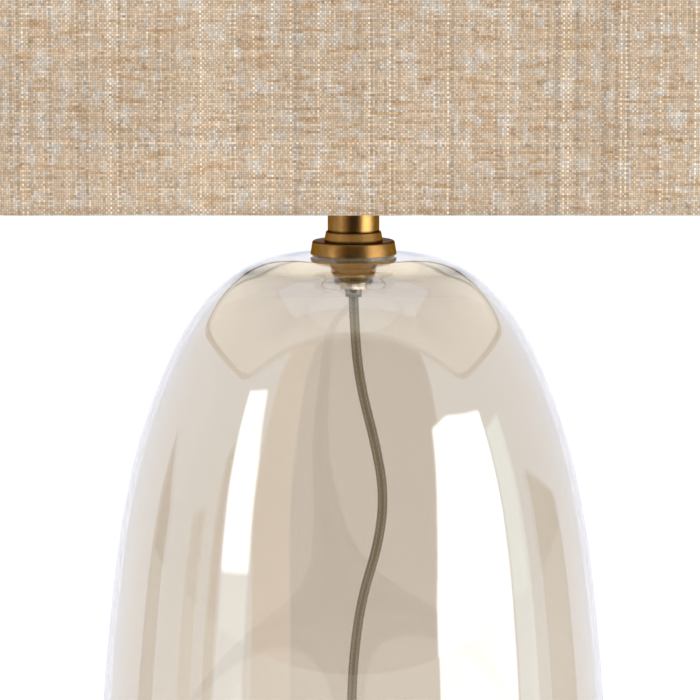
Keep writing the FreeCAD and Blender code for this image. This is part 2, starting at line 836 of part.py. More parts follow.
def make_switch():
    """The switch turns about a level axis that points to the front."""
    start = value("socket_body_radius + switch_shaft_gap")
    shaft = cylinder("switch_shaft", "switch_shaft_radius", "switch_shaft_length")
    facing = FreeCAD.Rotation(FreeCAD.Vector(1, 0, 0), 90)
    height = value(SWITCH_AXIS)
    shaft.Placement = FreeCAD.Placement(FreeCAD.Vector(0, -start, height), facing)

    knob = doc.addObject("PartDesign::Body", "turn_knob")
    stem = new_sketch(knob, "XY_Plane", "turn_knob_stem")
    add_circle(stem, "knob_radius")
    add_circle(stem, "switch_shaft_radius")
    pad(knob, stem, "knob_length", "turn_knob_stem_pad")
    paddle = new_sketch(knob, "XY_Plane", "turn_knob_paddle", "knob_length - knob_paddle_length")
    half, thick = "knob_paddle_width / 2", "knob_paddle_thickness / 2"
    add_outline(paddle, rounded_rectangle(half, thick, "knob_paddle_thickness / 2 - 0.1"))
    add_circle(paddle, "switch_shaft_radius")
    pad(knob, paddle, "knob_paddle_length", "turn_knob_paddle_pad")
    doc.recompute()
    knob.Placement = FreeCAD.Placement(FreeCAD.Vector(0, -value("shell_radius + knob_gap"), height), facing)


# ---- bulb ---------------------------------------------------------------------------------------------------


def make_bulb():
    turned("bulb_tip", rectangle("0", "bulb_tip_radius", "0", "bulb_tip_height"), BULB_BASE)
    insulator_base = BULB_BASE + " + bulb_tip_height"
    insulator = [
        ("0", "0"),
        ("bulb_tip_radius", "0"),
        ("bulb_thread_radius - 2.4", "bulb_insulator_height"),
        ("0", "bulb_insulator_height"),
    ]
    turned("bulb_insulator", insulator, insulator_base)
    base = insulator_base + " + bulb_insulator_height"
    total = "(bulb_thread_height + bulb_collar_height)"
    points = [("0", "0"), ("bulb_thread_radius - bulb_foot_inset", "0")]
    for ridge in range(BULB_RIDGES):
        low = f"{ridge} * bulb_thread_pitch"
        points.append(("bulb_thread_radius - bulb_thread_depth", f"{low} + bulb_thread_start"))
        points.append(("bulb_thread_radius", f"{low} + bulb_thread_start + bulb_thread_pitch / 2"))
    points.append(("bulb_thread_radius - bulb_thread_depth", f"{BULB_RIDGES} * bulb_thread_pitch + bulb_thread_start"))
    points.append(("bulb_thread_radius", f"{total} - bulb_foot_inset"))
    points.append(("bulb_thread_radius", total))
    points.append(("0", total))
    turned("bulb_screw_base", points, base)

    globe_base = base + f" + {total}"
    lean, wall = "45 deg", "globe_wall"
    flare = f"((globe_radius * cos({lean}) - globe_neck_radius) / (1 - cos({lean})))"
    middle = f"(globe_neck_height + {flare} * sin({lean}) + globe_radius * sin({lean}))"
    low_middle = f"({middle} - globe_radius * sin({lean}))"
    globe = [
        ("globe_neck_radius", "0"),
        ("globe_neck_radius", "globe_neck_height", flare, -1),
        (f"globe_radius * cos({lean})", low_middle, "globe_radius", 1),
        ("globe_radius", middle, "globe_radius", 1),
        ("0", f"{middle} + globe_radius"),
        ("0", f"{middle} + globe_radius - {wall}", f"globe_radius - {wall}", -1),
        (f"globe_radius - {wall}", middle, f"globe_radius - {wall}", -1),
        (
            f"(globe_radius - {wall}) * cos({lean})",
            f"{low_middle} + {wall} * sin({lean})",
            f"{flare} + {wall}",
            1,
        ),
        (f"globe_neck_radius - {wall}", "globe_neck_height"),
        (f"globe_neck_radius - {wall}", "0"),
    ]
    turned("bulb_globe", globe, globe_base)


# ---- shade --------------------------------------------------------------------------------------------------


def shade_ring(body, name, outer_inset, inner_inset, low, height):
    """One band of the shade, between two insets from its outer face."""
    sketch = new_sketch(body, "XY_Plane", name + "_profile", low)
    for inset in (outer_inset, inner_inset):
        half_width = f"shade_width / 2 - {inset}"
        half_depth = f"shade_depth / 2 - {inset}"
        add_outline(sketch, rounded_rectangle(half_width, half_depth, f"shade_corner_radius - {inset}"))
    pad(body, sketch, height, name)


def make_shade():
    linen = doc.addObject("PartDesign::Body", "shade_fabric")
    cloth, lap = "linen_thickness", "(hem_depth - linen_thickness)"
    shade_ring(linen, "linen_skin", "0", cloth, "0", "shade_height")
    shade_ring(linen, "hem_turn_low", "0", "hem_depth", "0", cloth)
    shade_ring(linen, "hem_lap_low", lap, "hem_depth", "0", "hem_height")
    shade_ring(linen, "hem_turn_high", "0", "hem_depth", f"shade_height - {cloth}", cloth)
    shade_ring(linen, "hem_lap_high", lap, "hem_depth", "shade_height - hem_height", "hem_height")
    place(linen, SHADE_BASE)

    liner = doc.addObject("PartDesign::Body", "shade_liner")
    inner = f"({cloth} + liner_thickness)"
    shade_ring(liner, "liner_sheet", cloth, inner, cloth, f"shade_height - 2 * {cloth}")
    place(liner, SHADE_BASE)


def wire_ring(label, height):
    """A round wire bent to the shade's rectangle, just inside the liner."""
    inset = value("shade_wire_inset")
    wide, deep = value("shade_width / 2") - inset, value("shade_depth / 2") - inset
    bend = value("shade_corner_radius") - inset
    edges = []
    diagonal = bend * math.sqrt(0.5)
    for across, along in ((1, 1), (-1, 1), (-1, -1), (1, -1)):
        centre = FreeCAD.Vector(across * (wide - bend), along * (deep - bend), height)
        side = centre + FreeCAD.Vector(across * bend, 0, 0)
        end = centre + FreeCAD.Vector(0, along * bend, 0)
        middle = centre + FreeCAD.Vector(across * diagonal, along * diagonal, 0)
        corner = (side, end) if across * along > 0 else (end, side)
        edges.append(Part.Arc(corner[0], middle, corner[1]).toShape())
        if across * along > 0:
            straight = FreeCAD.Vector(-across * (wide - bend) * 2, 0, 0)
        else:
            straight = FreeCAD.Vector(0, -along * (deep - bend) * 2, 0)
        edges.append(Part.LineSegment(corner[1], corner[1] + straight).toShape())
    shaped(label, sweep(Part.Wire(edges), value("shade_wire_radius")))


def make_shade_frame():
    lift = value("linen_thickness + shade_wire_radius + shade_wire_play")
    wire_ring("shade_bottom_wire", value(SHADE_BASE) + lift)
    wire_ring("shade_top_wire", value(SHADE_TOP) - lift)
    hollow_disc("spider_hub", "hub_radius", "hub_bore_radius", "hub_thickness", HUB_BASE)

    low = value(HUB_BASE + " + hub_thickness / 2")
    high = value(SHADE_TOP) - lift
    start = value("hub_radius - spider_overlap")
    inset = value("shade_wire_inset")
    reaches = {"x": value("shade_width / 2") - inset, "y": value("shade_depth / 2") - inset}
    arms = []
    for axis, reach in reaches.items():
        for side in (-1, 1):
            profile = [(start, low), (value("spider_flat_end"), low), (value("spider_rise_end"), high), (reach, high)]
            spots = [(side * out, 0, up) if axis == "x" else (0, side * out, up) for out, up in profile]
            arms.append(round_bar(spots, value("shade_wire_radius"))[0])
    shaped("spider_arms", Part.makeCompound(arms))


def make_finial():
    base_r, neck_r, ball_r = "finial_base_radius", "finial_neck_radius", "finial_ball_radius"
    top = "finial_height"
    ball_middle = "(finial_height - finial_ball_radius)"
    waist = "(finial_height - finial_ball_radius * 2 + finial_waist_rise)"
    points = [
        ("finial_bore_radius", "0"),
        (base_r, "0"),
        (base_r, "finial_base_height - finial_base_chamfer"),
        (f"{base_r} - finial_base_chamfer", "finial_base_height"),
        (neck_r, "finial_base_height + finial_neck_rise"),
        (neck_r, waist),
        (f"{neck_r} + finial_waist_rise", f"{waist} + finial_waist_rise / 2", ball_r, 1),
        (ball_r, ball_middle, ball_r, 1),
        ("0", top),
        ("0", "finial_bore_depth"),
        ("finial_bore_radius", "finial_bore_depth"),
    ]
    turned("finial", points, HUB_BASE + " + hub_thickness + body_gap")


# ---- cord ---------------------------------------------------------------------------------------------------


def cord_route():
    """From the bushing, down inside the glass, out through the grommet at the back, and onto the coil."""
    hole = cord_hole_placement()
    reach = value("cord_hole_reach")
    inside = hole.multVec(FreeCAD.Vector(0, 0, -reach))
    outside = hole.multVec(FreeCAD.Vector(0, 0, reach))
    start = value(NIPPLE_BASE + " - bushing_lip_height")
    across = value("coil_centre_x + coil_middle_radius + coil_pitch")
    back = value("coil_centre_y")
    top = value("coil_lift + coil_bundle_height") - 1
    return [
        (0, 0, start),
        (0.7, 0.4, 331),
        (4.3, 3.4, 302),
        (12.4, 10.4, 270),
        (17.5, 20, 240),
        (14.5, 30, 210),
        (5, 46, 176),
        (0.5, 60, 142),
        (-1.2, 76, 108),
        (-0.6, 93, 76),
        (inside.x, inside.y, inside.z),
        (outside.x, outside.y, outside.z),
        (3, 185, 24),
        (across, back, top),
    ]


def tail_route():
    """From the outside of the coil's lowest turn to the plug's strain relief."""
    radius = value("coil_middle_radius + coil_bundle_width / 2 - cord_radius")
    x, y = value("coil_centre_x"), value("coil_centre_y")
    lift = value("cord_radius + cord_table_gap")
    plug_axis = value("plug_thickness") / 2
    return [
        (x, y - radius, value("coil_lift + cord_radius")),
        (x + 22, y - radius - 1, lift + 0.3),
        (x + 44, y - radius + 6, plug_axis - 0.9),
        (x + 60, y - radius + 16, plug_axis),
    ]


def cord_tube(label, points):
    radius = value("cord_radius")
    bar, wire, radii = round_bar(points, radius)
    runs = [(FreeCAD.Vector(*b) - FreeCAD.Vector(*a)).Length for a, b in zip(points, points[1:])]
    print(label, "length", round(wire.Length, 1), "runs", [round(run) for run in runs])
    share = bar.Volume / (math.pi * radius**2 * wire.Length)
    print(label, "radii", [round(bend) for bend in radii], "volume share", round(share, 4))
    shaped(label, bar)


def make_cords():
    riser_base = NIPPLE_BASE + " - bushing_lip_height"
    riser_top = SOCKET_BASE + " + nipple_end_above_saddle + 2"
    riser = cylinder("cord_riser", "cord_radius", f"({riser_top}) - ({riser_base})")
    place(riser, riser_base)
    leads = []
    start = value(riser_top)
    reach = value("socket_body_radius + terminal_height / 2")
    terminal = value(BODY_BASE + " + 3")
    for side in (-1, 1):
        spots = [(1.4, start), (1.5, start + 3), (8, start + 4.4), (reach, start + 5), (reach, terminal)]
        leads.append(round_bar([(side * out, 0, up) for out, up in spots], LEAD_RADIUS)[0])
    shaped("socket_leads", Part.makeCompound(leads))

    cord_tube("cord_run", cord_route())
    cord_tube("cord_tail", tail_route())

    half = "coil_bundle_width / 2"
    coil = doc.addObject("PartDesign::Body", "cord_coil")
    profile = new_sketch(coil, "XZ_Plane", "cord_coil_profile")
    inner, outer = f"(coil_middle_radius - {half})", f"(coil_middle_radius + {half})"
    low, high, bend = "0", "coil_bundle_height", "2.5"
    add_outline(
        profile,
        [
            (f"{inner} + {bend}", low),
            (f"{outer} - {bend}", low, bend, 1),
            (outer, f"{low} + {bend}"),
            (outer, f"{high} - {bend}", bend, 1),
            (f"{outer} - {bend}", high),
            (f"{inner} + {bend}", high, bend, 1),
            (inner, f"{high} - {bend}"),
            (inner, f"{low} + {bend}", bend, 1),
        ],
    )
    turn = coil.newObject("PartDesign::Revolution", "cord_coil_turn")
    turn.Profile = profile
    turn.ReferenceAxis = (profile, ["V_Axis"])
    turn.Angle = 360
    place(coil, "coil_lift", "coil_centre_x", "coil_centre_y")


def make_tie():
    """A flat strap closed round the bundle of turns, on the side away from the lamp."""
    tie = doc.addObject("PartDesign::Body", "cord_tie")
    profile = new_sketch(tie, "YZ_Plane", "cord_tie_profile")
    half = "(coil_bundle_width / 2 + tie_play)"
    low, high = "-tie_play", "(coil_bundle_height + tie_play)"
    thick = "tie_thickness"
    outside = rectangle(f"-{half} - {thick}", f"{half} + {thick}", f"{low} - {thick}", f"{high} + {thick}")
    add_outline(profile, outside)
    add_outline(profile, rectangle(f"-{half}", half, low, high))
    pad(tie, profile, "tie_width", "cord_tie_pad", True)
    place(tie, "coil_lift", "coil_centre_x", "coil_centre_y + coil_middle_radius")


def make_plug():
    """A two-blade plug lying flat, its strain relief towards the cord."""
    end, before = FreeCAD.Vector(*tail_route()[-1]), FreeCAD.Vector(*tail_route()[-2])
    heading = math.degrees(math.atan2(end.y - before.y, end.x - before.x))
    plug = doc.addObject("PartDesign::Body", "plug_body")
    outline = new_sketch(plug, "XY_Plane", "plug_outline")
    relief, length, half = "relief_length", "(relief_length + plug_length)", "plug_width / 2"
    add_outline(
        outline,
        [
            (relief, "-cord_radius - 1.8"),
            (f"{relief} + 7", f"-{half}"),
            (length, f"-{half}"),
            (length, half),
            (f"{relief} + 7", half),
            (relief, "cord_radius + 1.8"),
        ],
    )
    pad(plug, outline, "plug_thickness", "plug_block", True)
    nose = new_sketch(plug, "XZ_Plane", "relief_profile")
    add_outline(
        nose,
        [
            ("0", "0"),
            ("0", "cord_radius + 0.5"),
            (relief, "cord_radius + 1.8"),
            (f"{relief} + 1", "cord_radius + 1.8"),
            (f"{relief} + 1", "0"),
        ],
    )
    taper = plug.newObject("PartDesign::Revolution", "relief_turn")
    taper.Profile = nose
    taper.ReferenceAxis = (nose, ["H_Axis"])
    taper.Angle = 360
    doc.recompute()
    lift = value("plug_thickness / 2")
    turn = FreeCAD.Rotation(FreeCAD.Vector(0, 0, 1), heading)
    plug.Placement = FreeCAD.Placement(FreeCAD.Vector(end.x, end.y, lift), turn)

    blades = []
    for name, side in (("near", -1), ("far", 1)):
        blade = doc.addObject("Part::Box", f"blade_{name}")
        blade.setExpression("Width", bound("blade_thickness"))
        blade.setExpression("Height", bound("blade_width"))
        shift = FreeCAD.Vector(
            value("relief_length + plug_length"),
            side * value("blade_spacing") / 2 - value("blade_thickness") / 2,
            -value("blade_width") / 2,
        )
        blade.setExpression("Length", bound("blade_length"))
        blade.Placement = plug.Placement.multiply(FreeCAD.Placement(shift, FreeCAD.Rotation()))
        blades.append(blade)
    group("plug_blades", blades)


NODES = [
    "glass_body",
    "bumper_feet",
    "cord_grommet",
    "cap_gasket",
    "cap_flange",
    "neck_ring",
    "neck_tube",
    "neck_cap",
    "threaded_nipple",
    "centering_bush",
    "steel_washer",
    "hex_nut",
    "nipple_bushing",
    "harp_saddle",
    "harp_wire",
    "harp_stud",
    "harp_ferrule_left",
    "harp_ferrule_right",
    "socket_cap",
    "socket_set_screw",
    "socket_shell",
    "socket_insulator",
    "socket_body",
    "socket_screw_shell",
    "socket_contact",
    "terminal_screws",
    "socket_leads",
    "switch_shaft",
    "turn_knob",
    "bulb_tip",
    "bulb_insulator",
    "bulb_screw_base",
    "bulb_globe",
    "shade_fabric",
    "shade_liner",
    "shade_bottom_wire",
    "shade_top_wire",
    "spider_hub",
    "spider_arms",
    "finial",
    "cord_riser",
    "cord_run",
    "cord_tail",
    "cord_coil",
    "cord_tie",
    "plug_body",
    "plug_blades",
]


def check_document():
    for item in doc.Objects:
        assert "Invalid" not in item.State and "Error" not in item.State, f"{item.Label} failed: {item.State}"
    for name in NODES:
        shape = doc.getObjectsByLabel(name)[0].Shape
        assert not shape.isNull() and shape.isValid() and shape.Volume > 0, f"{name} has no sound shape"


def write_parts():
    os.makedirs("parts", exist_ok=True)
    for name in NODES:
        doc.getObjectsByLabel(name)[0].Shape.exportStep(f"parts/{name}.step")


write_dimensions()
make_glass()
make_grommet()
make_neck()
make_clamp()
make_saddle()
make_harp()
make_socket()
make_switch()
make_bulb()
make_shade()
make_shade_frame()
make_finial()
make_cords()
make_tie()
make_plug()
doc.recompute()
check_document()
write_parts()
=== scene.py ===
import json
import math

import bmesh
import bpy
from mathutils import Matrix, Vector, noise


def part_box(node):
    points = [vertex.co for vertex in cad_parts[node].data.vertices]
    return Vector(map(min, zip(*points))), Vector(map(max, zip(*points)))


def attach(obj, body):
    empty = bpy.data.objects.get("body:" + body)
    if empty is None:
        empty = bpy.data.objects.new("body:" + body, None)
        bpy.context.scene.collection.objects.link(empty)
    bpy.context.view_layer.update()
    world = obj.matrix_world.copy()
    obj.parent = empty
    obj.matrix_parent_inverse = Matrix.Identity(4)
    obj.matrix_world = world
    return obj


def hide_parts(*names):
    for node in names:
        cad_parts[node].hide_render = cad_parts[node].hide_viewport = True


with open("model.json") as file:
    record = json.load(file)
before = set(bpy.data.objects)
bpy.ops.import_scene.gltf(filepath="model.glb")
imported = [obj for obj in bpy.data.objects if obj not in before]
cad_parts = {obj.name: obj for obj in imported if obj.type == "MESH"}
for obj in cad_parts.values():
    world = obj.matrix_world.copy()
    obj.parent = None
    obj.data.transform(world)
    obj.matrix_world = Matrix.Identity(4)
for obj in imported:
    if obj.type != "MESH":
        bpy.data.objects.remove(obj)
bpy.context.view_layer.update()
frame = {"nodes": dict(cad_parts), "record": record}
nodes = frame["nodes"]

# Lengths are metres. The lamp stands on its pads at z = 0; its glass, neck, harp and shade share the Z axis.
GLASS_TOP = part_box("cap_gasket")[0][2]
FLANGE_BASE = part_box("cap_flange")[0][2]
SHADE_LOW, SHADE_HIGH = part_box("shade_fabric")
COIL_LOW, COIL_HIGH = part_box("cord_coil")


# ---- camera ------------------------------------------------------------------------------------------------

CAMERA_DISTANCE = 2.5
CAMERA_ELEVATION = math.radians(7.5)
AIM_BELOW_FLANGE = 0.0544
AIM_ACROSS = -0.00196
LENS = 229.6


def make_camera():
    data = bpy.data.cameras.new("photo_camera")
    data.sensor_width = 36
    data.lens = LENS
    data.clip_end = 60
    camera = bpy.data.objects.new("photo_camera", data)
    bpy.context.scene.collection.objects.link(camera)
    back = CAMERA_DISTANCE * math.cos(CAMERA_ELEVATION)
    up = CAMERA_DISTANCE * math.sin(CAMERA_ELEVATION)
    camera.location = (AIM_ACROSS, -back, FLANGE_BASE - AIM_BELOW_FLANGE + up)
    camera.rotation_euler = (math.pi / 2 - CAMERA_ELEVATION, 0, 0)
    bpy.context.scene.camera = camera


# ---- mesh helpers ------------------------------------------------------------------------------------------


def new_object(name, vertices, faces):
    mesh = bpy.data.meshes.new(name)
    mesh.from_pydata([tuple(v) for v in vertices], [], faces)
    mesh.validate()
    mesh.shade_smooth()
    piece = bpy.data.objects.new(name, mesh)
    bpy.context.scene.collection.objects.link(piece)
    return piece


def rings_to_mesh(name, rings, closed_ring=True, closed_path=False, caps=False):
    """A surface through rings of equal counts of points."""
    count = len(rings[0])
    vertices = [point for ring in rings for point in ring]
    faces = []
    spans = len(rings) if closed_path else len(rings) - 1
    around = count if closed_ring else count - 1
    for i in range(spans):
        here, there = i * count, (i + 1) % len(rings) * count
        for j in range(around):
            k = (j + 1) % count
            faces.append((here + j, here + k, there + k, there + j))
    if caps:
        faces.append(tuple(reversed(range(count))))
        faces.append(tuple(range((len(rings) - 1) * count, len(rings) * count)))
    return new_object(name, vertices, faces)


def lathe(name, profile, segments):
    """A closed (radius, height) profile turned about Z."""
    rings = []
    for i in range(segments):
        angle = 2 * math.pi * i / segments
        c, s = math.cos(angle), math.sin(angle)
        rings.append([(r * c, r * s, z) for r, z in profile])
    return rings_to_mesh(name, rings, closed_path=True)


def put(piece, material, body="root"):
    piece.data.materials.clear()
    piece.data.materials.append(material)
    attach(piece, body)
    return piece


def smoothstep(share):
    share = min(max(share, 0.0), 1.0)
    return share * share * (3 - 2 * share)


# ---- node helpers ------------------------------------------------------------------------------------------


class Shader:
    """A material's node tree with short calls for its nodes."""

    def __init__(self, name):
        self.material = bpy.data.materials.new(name)
        self.material.use_nodes = True
        self.tree = self.material.node_tree
        self.bsdf = next(n for n in self.tree.nodes if n.type == "BSDF_PRINCIPLED")

    def node(self, kind, **settings):
        node = self.tree.nodes.new("ShaderNode" + kind)
        for key, value in settings.items():
            setattr(node, key, value)
        return node

    def link(self, value, socket):
        if isinstance(value, bpy.types.NodeSocket):
            self.tree.links.new(value, socket)
        else:
            socket.default_value = value

    def set(self, **sockets):
        for name, value in sockets.items():
            self.link(value, self.bsdf.inputs[name.replace("_", " ")])

    def math(self, operation, a, b=0.0):
        node = self.node("Math", operation=operation)
        for socket, value in zip(node.inputs, (a, b)):
            self.link(value, socket)
        return node.outputs[0]

    def mix(self, factor, a, b):
        node = self.node("Mix", data_type="RGBA")
        self.link(factor, node.inputs[0])
        self.link(a, node.inputs[6])
        self.link(b, node.inputs[7])
        return node.outputs[2]

    def ramp(self, value, low, high, to_low=0.0, to_high=1.0):
        node = self.node("MapRange", interpolation_type="SMOOTHSTEP")
        for socket, v in zip(node.inputs[:5], (value, low, high, to_low, to_high)):
            self.link(v, socket)
        return node.outputs[0]

    def noise(self, place, scale, detail=2.0, roughness=0.5):
        node = self.node("TexNoise")
        self.link(place, node.inputs["Vector"])
        node.inputs["Scale"].default_value = scale
        node.inputs["Detail"].default_value = detail
        node.inputs["Roughness"].default_value = roughness
        return node.outputs[0]

    def place(self):
        return self.node("TexCoord").outputs["Object"]

    def split(self, vector):
        node = self.node("SeparateXYZ")
        self.link(vector, node.inputs[0])
        return node.outputs

    def join(self, x=0.0, y=0.0, z=0.0):
        node = self.node("CombineXYZ")
        for socket, value in zip(node.inputs, (x, y, z)):
            self.link(value, socket)
        return node.outputs[0]

    def random(self, value):
        node = self.node("TexWhiteNoise", noise_dimensions="1D")
        self.link(value, node.inputs["W"])
        return node.outputs[0]

    def bump(self, height, distance, strength=1.0):
        node = self.node("Bump")
        node.inputs["Distance"].default_value = distance
        node.inputs["Strength"].default_value = strength
        self.link(height, node.inputs["Height"])
        self.link(node.outputs[0], self.bsdf.inputs["Normal"])


def colour(red, green, blue):
    return (red, green, blue, 1.0)


# ---- materials ---------------------------------------------------------------------------------------------


def glass_material():
    """Lustred smoke glass: nearly clear, a warm tint, and slow waves from the blowing."""
    m = Shader("smoke_glass")
    place = m.place()
    tint = m.noise(place, 6.0, 1.0)
    m.set(
        Base_Color=m.mix(m.ramp(tint, 0.35, 0.65), colour(0.80, 0.745, 0.67), colour(0.82, 0.765, 0.695)),
        Roughness=0.0,
        IOR=1.5,
    )
    m.bsdf.inputs["Transmission Weight"].default_value = 1.0
    m.bsdf.inputs["Coat Weight"].default_value = 0.6
    m.bsdf.inputs["Coat Roughness"].default_value = 0.0
    m.bsdf.inputs["Coat IOR"].default_value = 1.7
    m.bsdf.inputs["Specular Tint"].default_value = colour(0.75, 0.98, 1.0)
    depth = m.node("VolumeAbsorption")
    depth.inputs["Color"].default_value = colour(0.80, 0.90, 0.84)
    depth.inputs["Density"].default_value = 14.0
    output = next(n for n in m.tree.nodes if n.type == "OUTPUT_MATERIAL")
    m.link(depth.outputs[0], output.inputs["Volume"])
    m.bump(m.noise(place, 9.0, 1.0), 0.004, 0.02)
    return m.material


def brass_material(name, light, dark, roughness, shaded_seams=()):
    """Lacquered antique brass: fine turned lines round the axis, a soft mottle, and painted shade, a dark
    brown band at the seams between parts, which are heights above the table."""
    m = Shader(name)
    place = m.place()
    _, _, height = m.split(place)
    lines = m.noise(m.join(0.0, 0.0, m.math("MULTIPLY", height, 9000.0)), 1.0, 3.0, 0.7)
    mottle = m.noise(place, 240.0, 3.0, 0.6)
    patches = m.noise(place, 40.0, 2.0)
    mottled = m.math("MULTIPLY", m.ramp(mottle, 0.3, 0.75), 0.35)
    shade = m.math("ADD", mottled, m.math("MULTIPLY", patches, 0.6))
    tone = m.mix(shade, dark, light)
    # painted shade: the brass turns dark brown within about a millimetre of each seam between parts, where
    # shade falls
    for seam in shaded_seams:
        near = m.math("ABSOLUTE", m.math("SUBTRACT", height, seam))
        tone = m.mix(m.ramp(near, 0.0002, 0.0013, 0.85, 0.0), tone, colour(0.035, 0.018, 0.008))
    wear = m.math("ADD", m.math("MULTIPLY", lines, 0.5), patches)
    dull = m.ramp(wear, 0.4, 1.1, roughness - 0.04, roughness + 0.06)
    m.set(Base_Color=tone, Metallic=1.0, Roughness=dull)
    m.bsdf.inputs["Specular Tint"].default_value = colour(0.42, 0.30, 0.17)
    m.bsdf.inputs["Anisotropic"].default_value = 0.4
    m.bump(lines, 0.00002, 0.3)
    return m.material


def plain_metal(name, tone, roughness, scale=400.0):
    m = Shader(name)
    grain = m.noise(m.place(), scale, 4.0, 0.7)
    m.set(
        Base_Color=m.mix(grain, tuple(c * 0.8 for c in tone[:3]) + (1.0,), tone),
        Metallic=1.0,
        Roughness=m.ramp(grain, 0.3, 0.7, roughness - 0.06, roughness + 0.1),
    )
    m.bump(grain, 0.00003, 0.25)
    return m.material


def plastic_material(name, tone, roughness, scale=700.0, through=0.0):
    """Moulded plastic or rubber with a fine grain and faint clouding."""
    m = Shader(name)
    place = m.place()
    grain = m.noise(place, scale, 3.0, 0.6)
    cloud = m.noise(place, scale / 16, 2.0)
    dim = tuple(c * 0.82 for c in tone[:3]) + (1.0,)
    m.set(
        Base_Color=m.mix(m.ramp(cloud, 0.3, 0.7), dim, tone),
        Roughness=m.ramp(grain, 0.3, 0.7, roughness - 0.05, roughness + 0.08),
    )
    m.bsdf.inputs["Transmission Weight"].default_value = through
    m.bump(grain, 0.00002, 0.3)
    return m.material


# the width of one thread of the linen, and how light the cloth is as a whole
THREAD = 0.00122
LINEN_LEVEL = 0.98


def linen_material():
    """Plain weave: uneven threads both ways, with pale and ochre patches that follow the threads, small brown
    specks and a few cream warp threads. The cloth's own coordinates run along the shade's edge and up it, in
    metres."""
    m = Shader("linen")
    cloth = m.node("Attribute", attribute_name="cloth").outputs["Vector"]
    along, up, _ = m.split(cloth)
    wander = m.math("MULTIPLY", m.math("SUBTRACT", m.noise(cloth, 40.0, 2.0), 0.5), 0.0012)
    warp = m.math("DIVIDE", m.math("ADD", along, wander), THREAD)
    weft = m.math("DIVIDE", m.math("ADD", up, wander), THREAD)
    warp_number, weft_number = m.math("FLOOR", warp), m.math("FLOOR", weft)
    warp_tone = m.random(m.math("ADD", warp_number, 0.37))
    weft_tone = m.random(m.math("ADD", weft_number, 700.61))

    def runs(number, spread, distance, stretch, detail=2.0):
        """Noise that changes along a thread by stretch a metre, and by spread from one thread to the next."""
        place = m.join(m.math("MULTIPLY", number, spread), m.math("MULTIPLY", distance, stretch))
        return m.noise(place, 1.0, detail, 0.6)

    warp_slub = runs(warp_number, 3.7, up, 260.0, 3.0)
    weft_slub = runs(weft_number, 3.7, along, 200.0, 3.0)
    pale_share = m.ramp(runs(warp_number, 0.20, up, 70.0, 3.0), 0.50, 0.60, 0.0, 0.85)
    ochre_share = m.ramp(runs(weft_number, 0.42, along, 42.0, 4.0), 0.50, 0.66, 0.0, 0.85)
    specks = m.ramp(m.noise(cloth, 150.0, 3.0, 0.65), 0.59, 0.70, 0.0, 0.55)
    broad = m.ramp(m.noise(cloth, 11.0, 1.0), 0.35, 0.65, 0.96 * LINEN_LEVEL, 1.04 * LINEN_LEVEL)

    def profile(thread):
        return m.math("ABSOLUTE", m.math("SINE", m.math("MULTIPLY", thread, math.pi)))

    warp_round, weft_round = profile(warp), profile(weft)
    over = m.math("MODULO", m.math("ABSOLUTE", m.math("ADD", warp_number, weft_number)), 2.0)

    sand, pale = colour(0.58, 0.455, 0.32), colour(0.62, 0.565, 0.485)
    ochre, brown = colour(0.49, 0.32, 0.17), colour(0.27, 0.165, 0.08)
    cream, dark = colour(0.86, 0.74, 0.55), colour(0.36, 0.28, 0.20)
    base = m.mix(pale_share, sand, pale)
    base = m.mix(ochre_share, base, ochre)
    base = m.mix(specks, base, brown)
    warp_colour = m.mix(m.ramp(warp_tone, 0.90, 0.94, 0.0, 0.34), base, cream)
    warp_colour = m.mix(m.ramp(warp_tone, 0.07, 0.05, 0.0, 0.55), warp_colour, dark)
    warp_colour = m.mix(m.ramp(warp_slub, 0.58, 0.72, 0.0, 0.36), warp_colour, cream)
    weft_colour = m.mix(m.ramp(weft_slub, 0.58, 0.72, 0.0, 0.65), base, brown)
    weft_colour = m.mix(m.ramp(weft_tone, 0.95, 0.97, 0.0, 0.25), weft_colour, cream)

    crossing = m.math("ADD", m.math("MULTIPLY", warp_number, 57.31), m.math("MULTIPLY", weft_number, 113.7))
    crossing = m.math("ADD", m.math("MULTIPLY", m.random(crossing), 0.32), 0.84)
    broad = m.math("MULTIPLY", broad, crossing)

    # painted shade and highlight: each thread is darker at its edges, in the gaps between threads, and
    # lighter over its crown
    def toned_and_shaded(thread_colour, low, high, tone, roundness):
        level = m.math("MULTIPLY", m.ramp(tone, 0.0, 1.0, low, high), m.ramp(roundness, 0.0, 0.7, 0.58, 1.08))
        scaled = m.node("VectorMath", operation="SCALE")
        m.link(thread_colour, scaled.inputs[0])
        m.link(m.math("MULTIPLY", level, broad), scaled.inputs["Scale"])
        return scaled.outputs[0]

    warp_colour = toned_and_shaded(warp_colour, 0.86, 1.20, warp_tone, warp_round)
    weft_colour = toned_and_shaded(weft_colour, 0.82, 1.08, weft_tone, weft_round)
    tone = m.mix(over, warp_colour, weft_colour)
    m.set(Base_Color=tone, Roughness=m.ramp(pale_share, 0.0, 0.85, 0.82, 0.95))
    m.bsdf.inputs["Specular IOR Level"].default_value = 0.25
    m.bsdf.inputs["Sheen Weight"].default_value = 0.2
    m.bsdf.inputs["Sheen Roughness"].default_value = 0.5
    over_height = m.math("MULTIPLY", m.math("SUBTRACT", 1.0, over), warp_round)
    under_height = m.math("MULTIPLY", over, weft_round)
    height = m.math("ADD", m.math("ADD", over_height, under_height), m.math("MULTIPLY", warp_slub, 0.8))
    m.bump(height, 0.00018, 0.8)
    return m.material


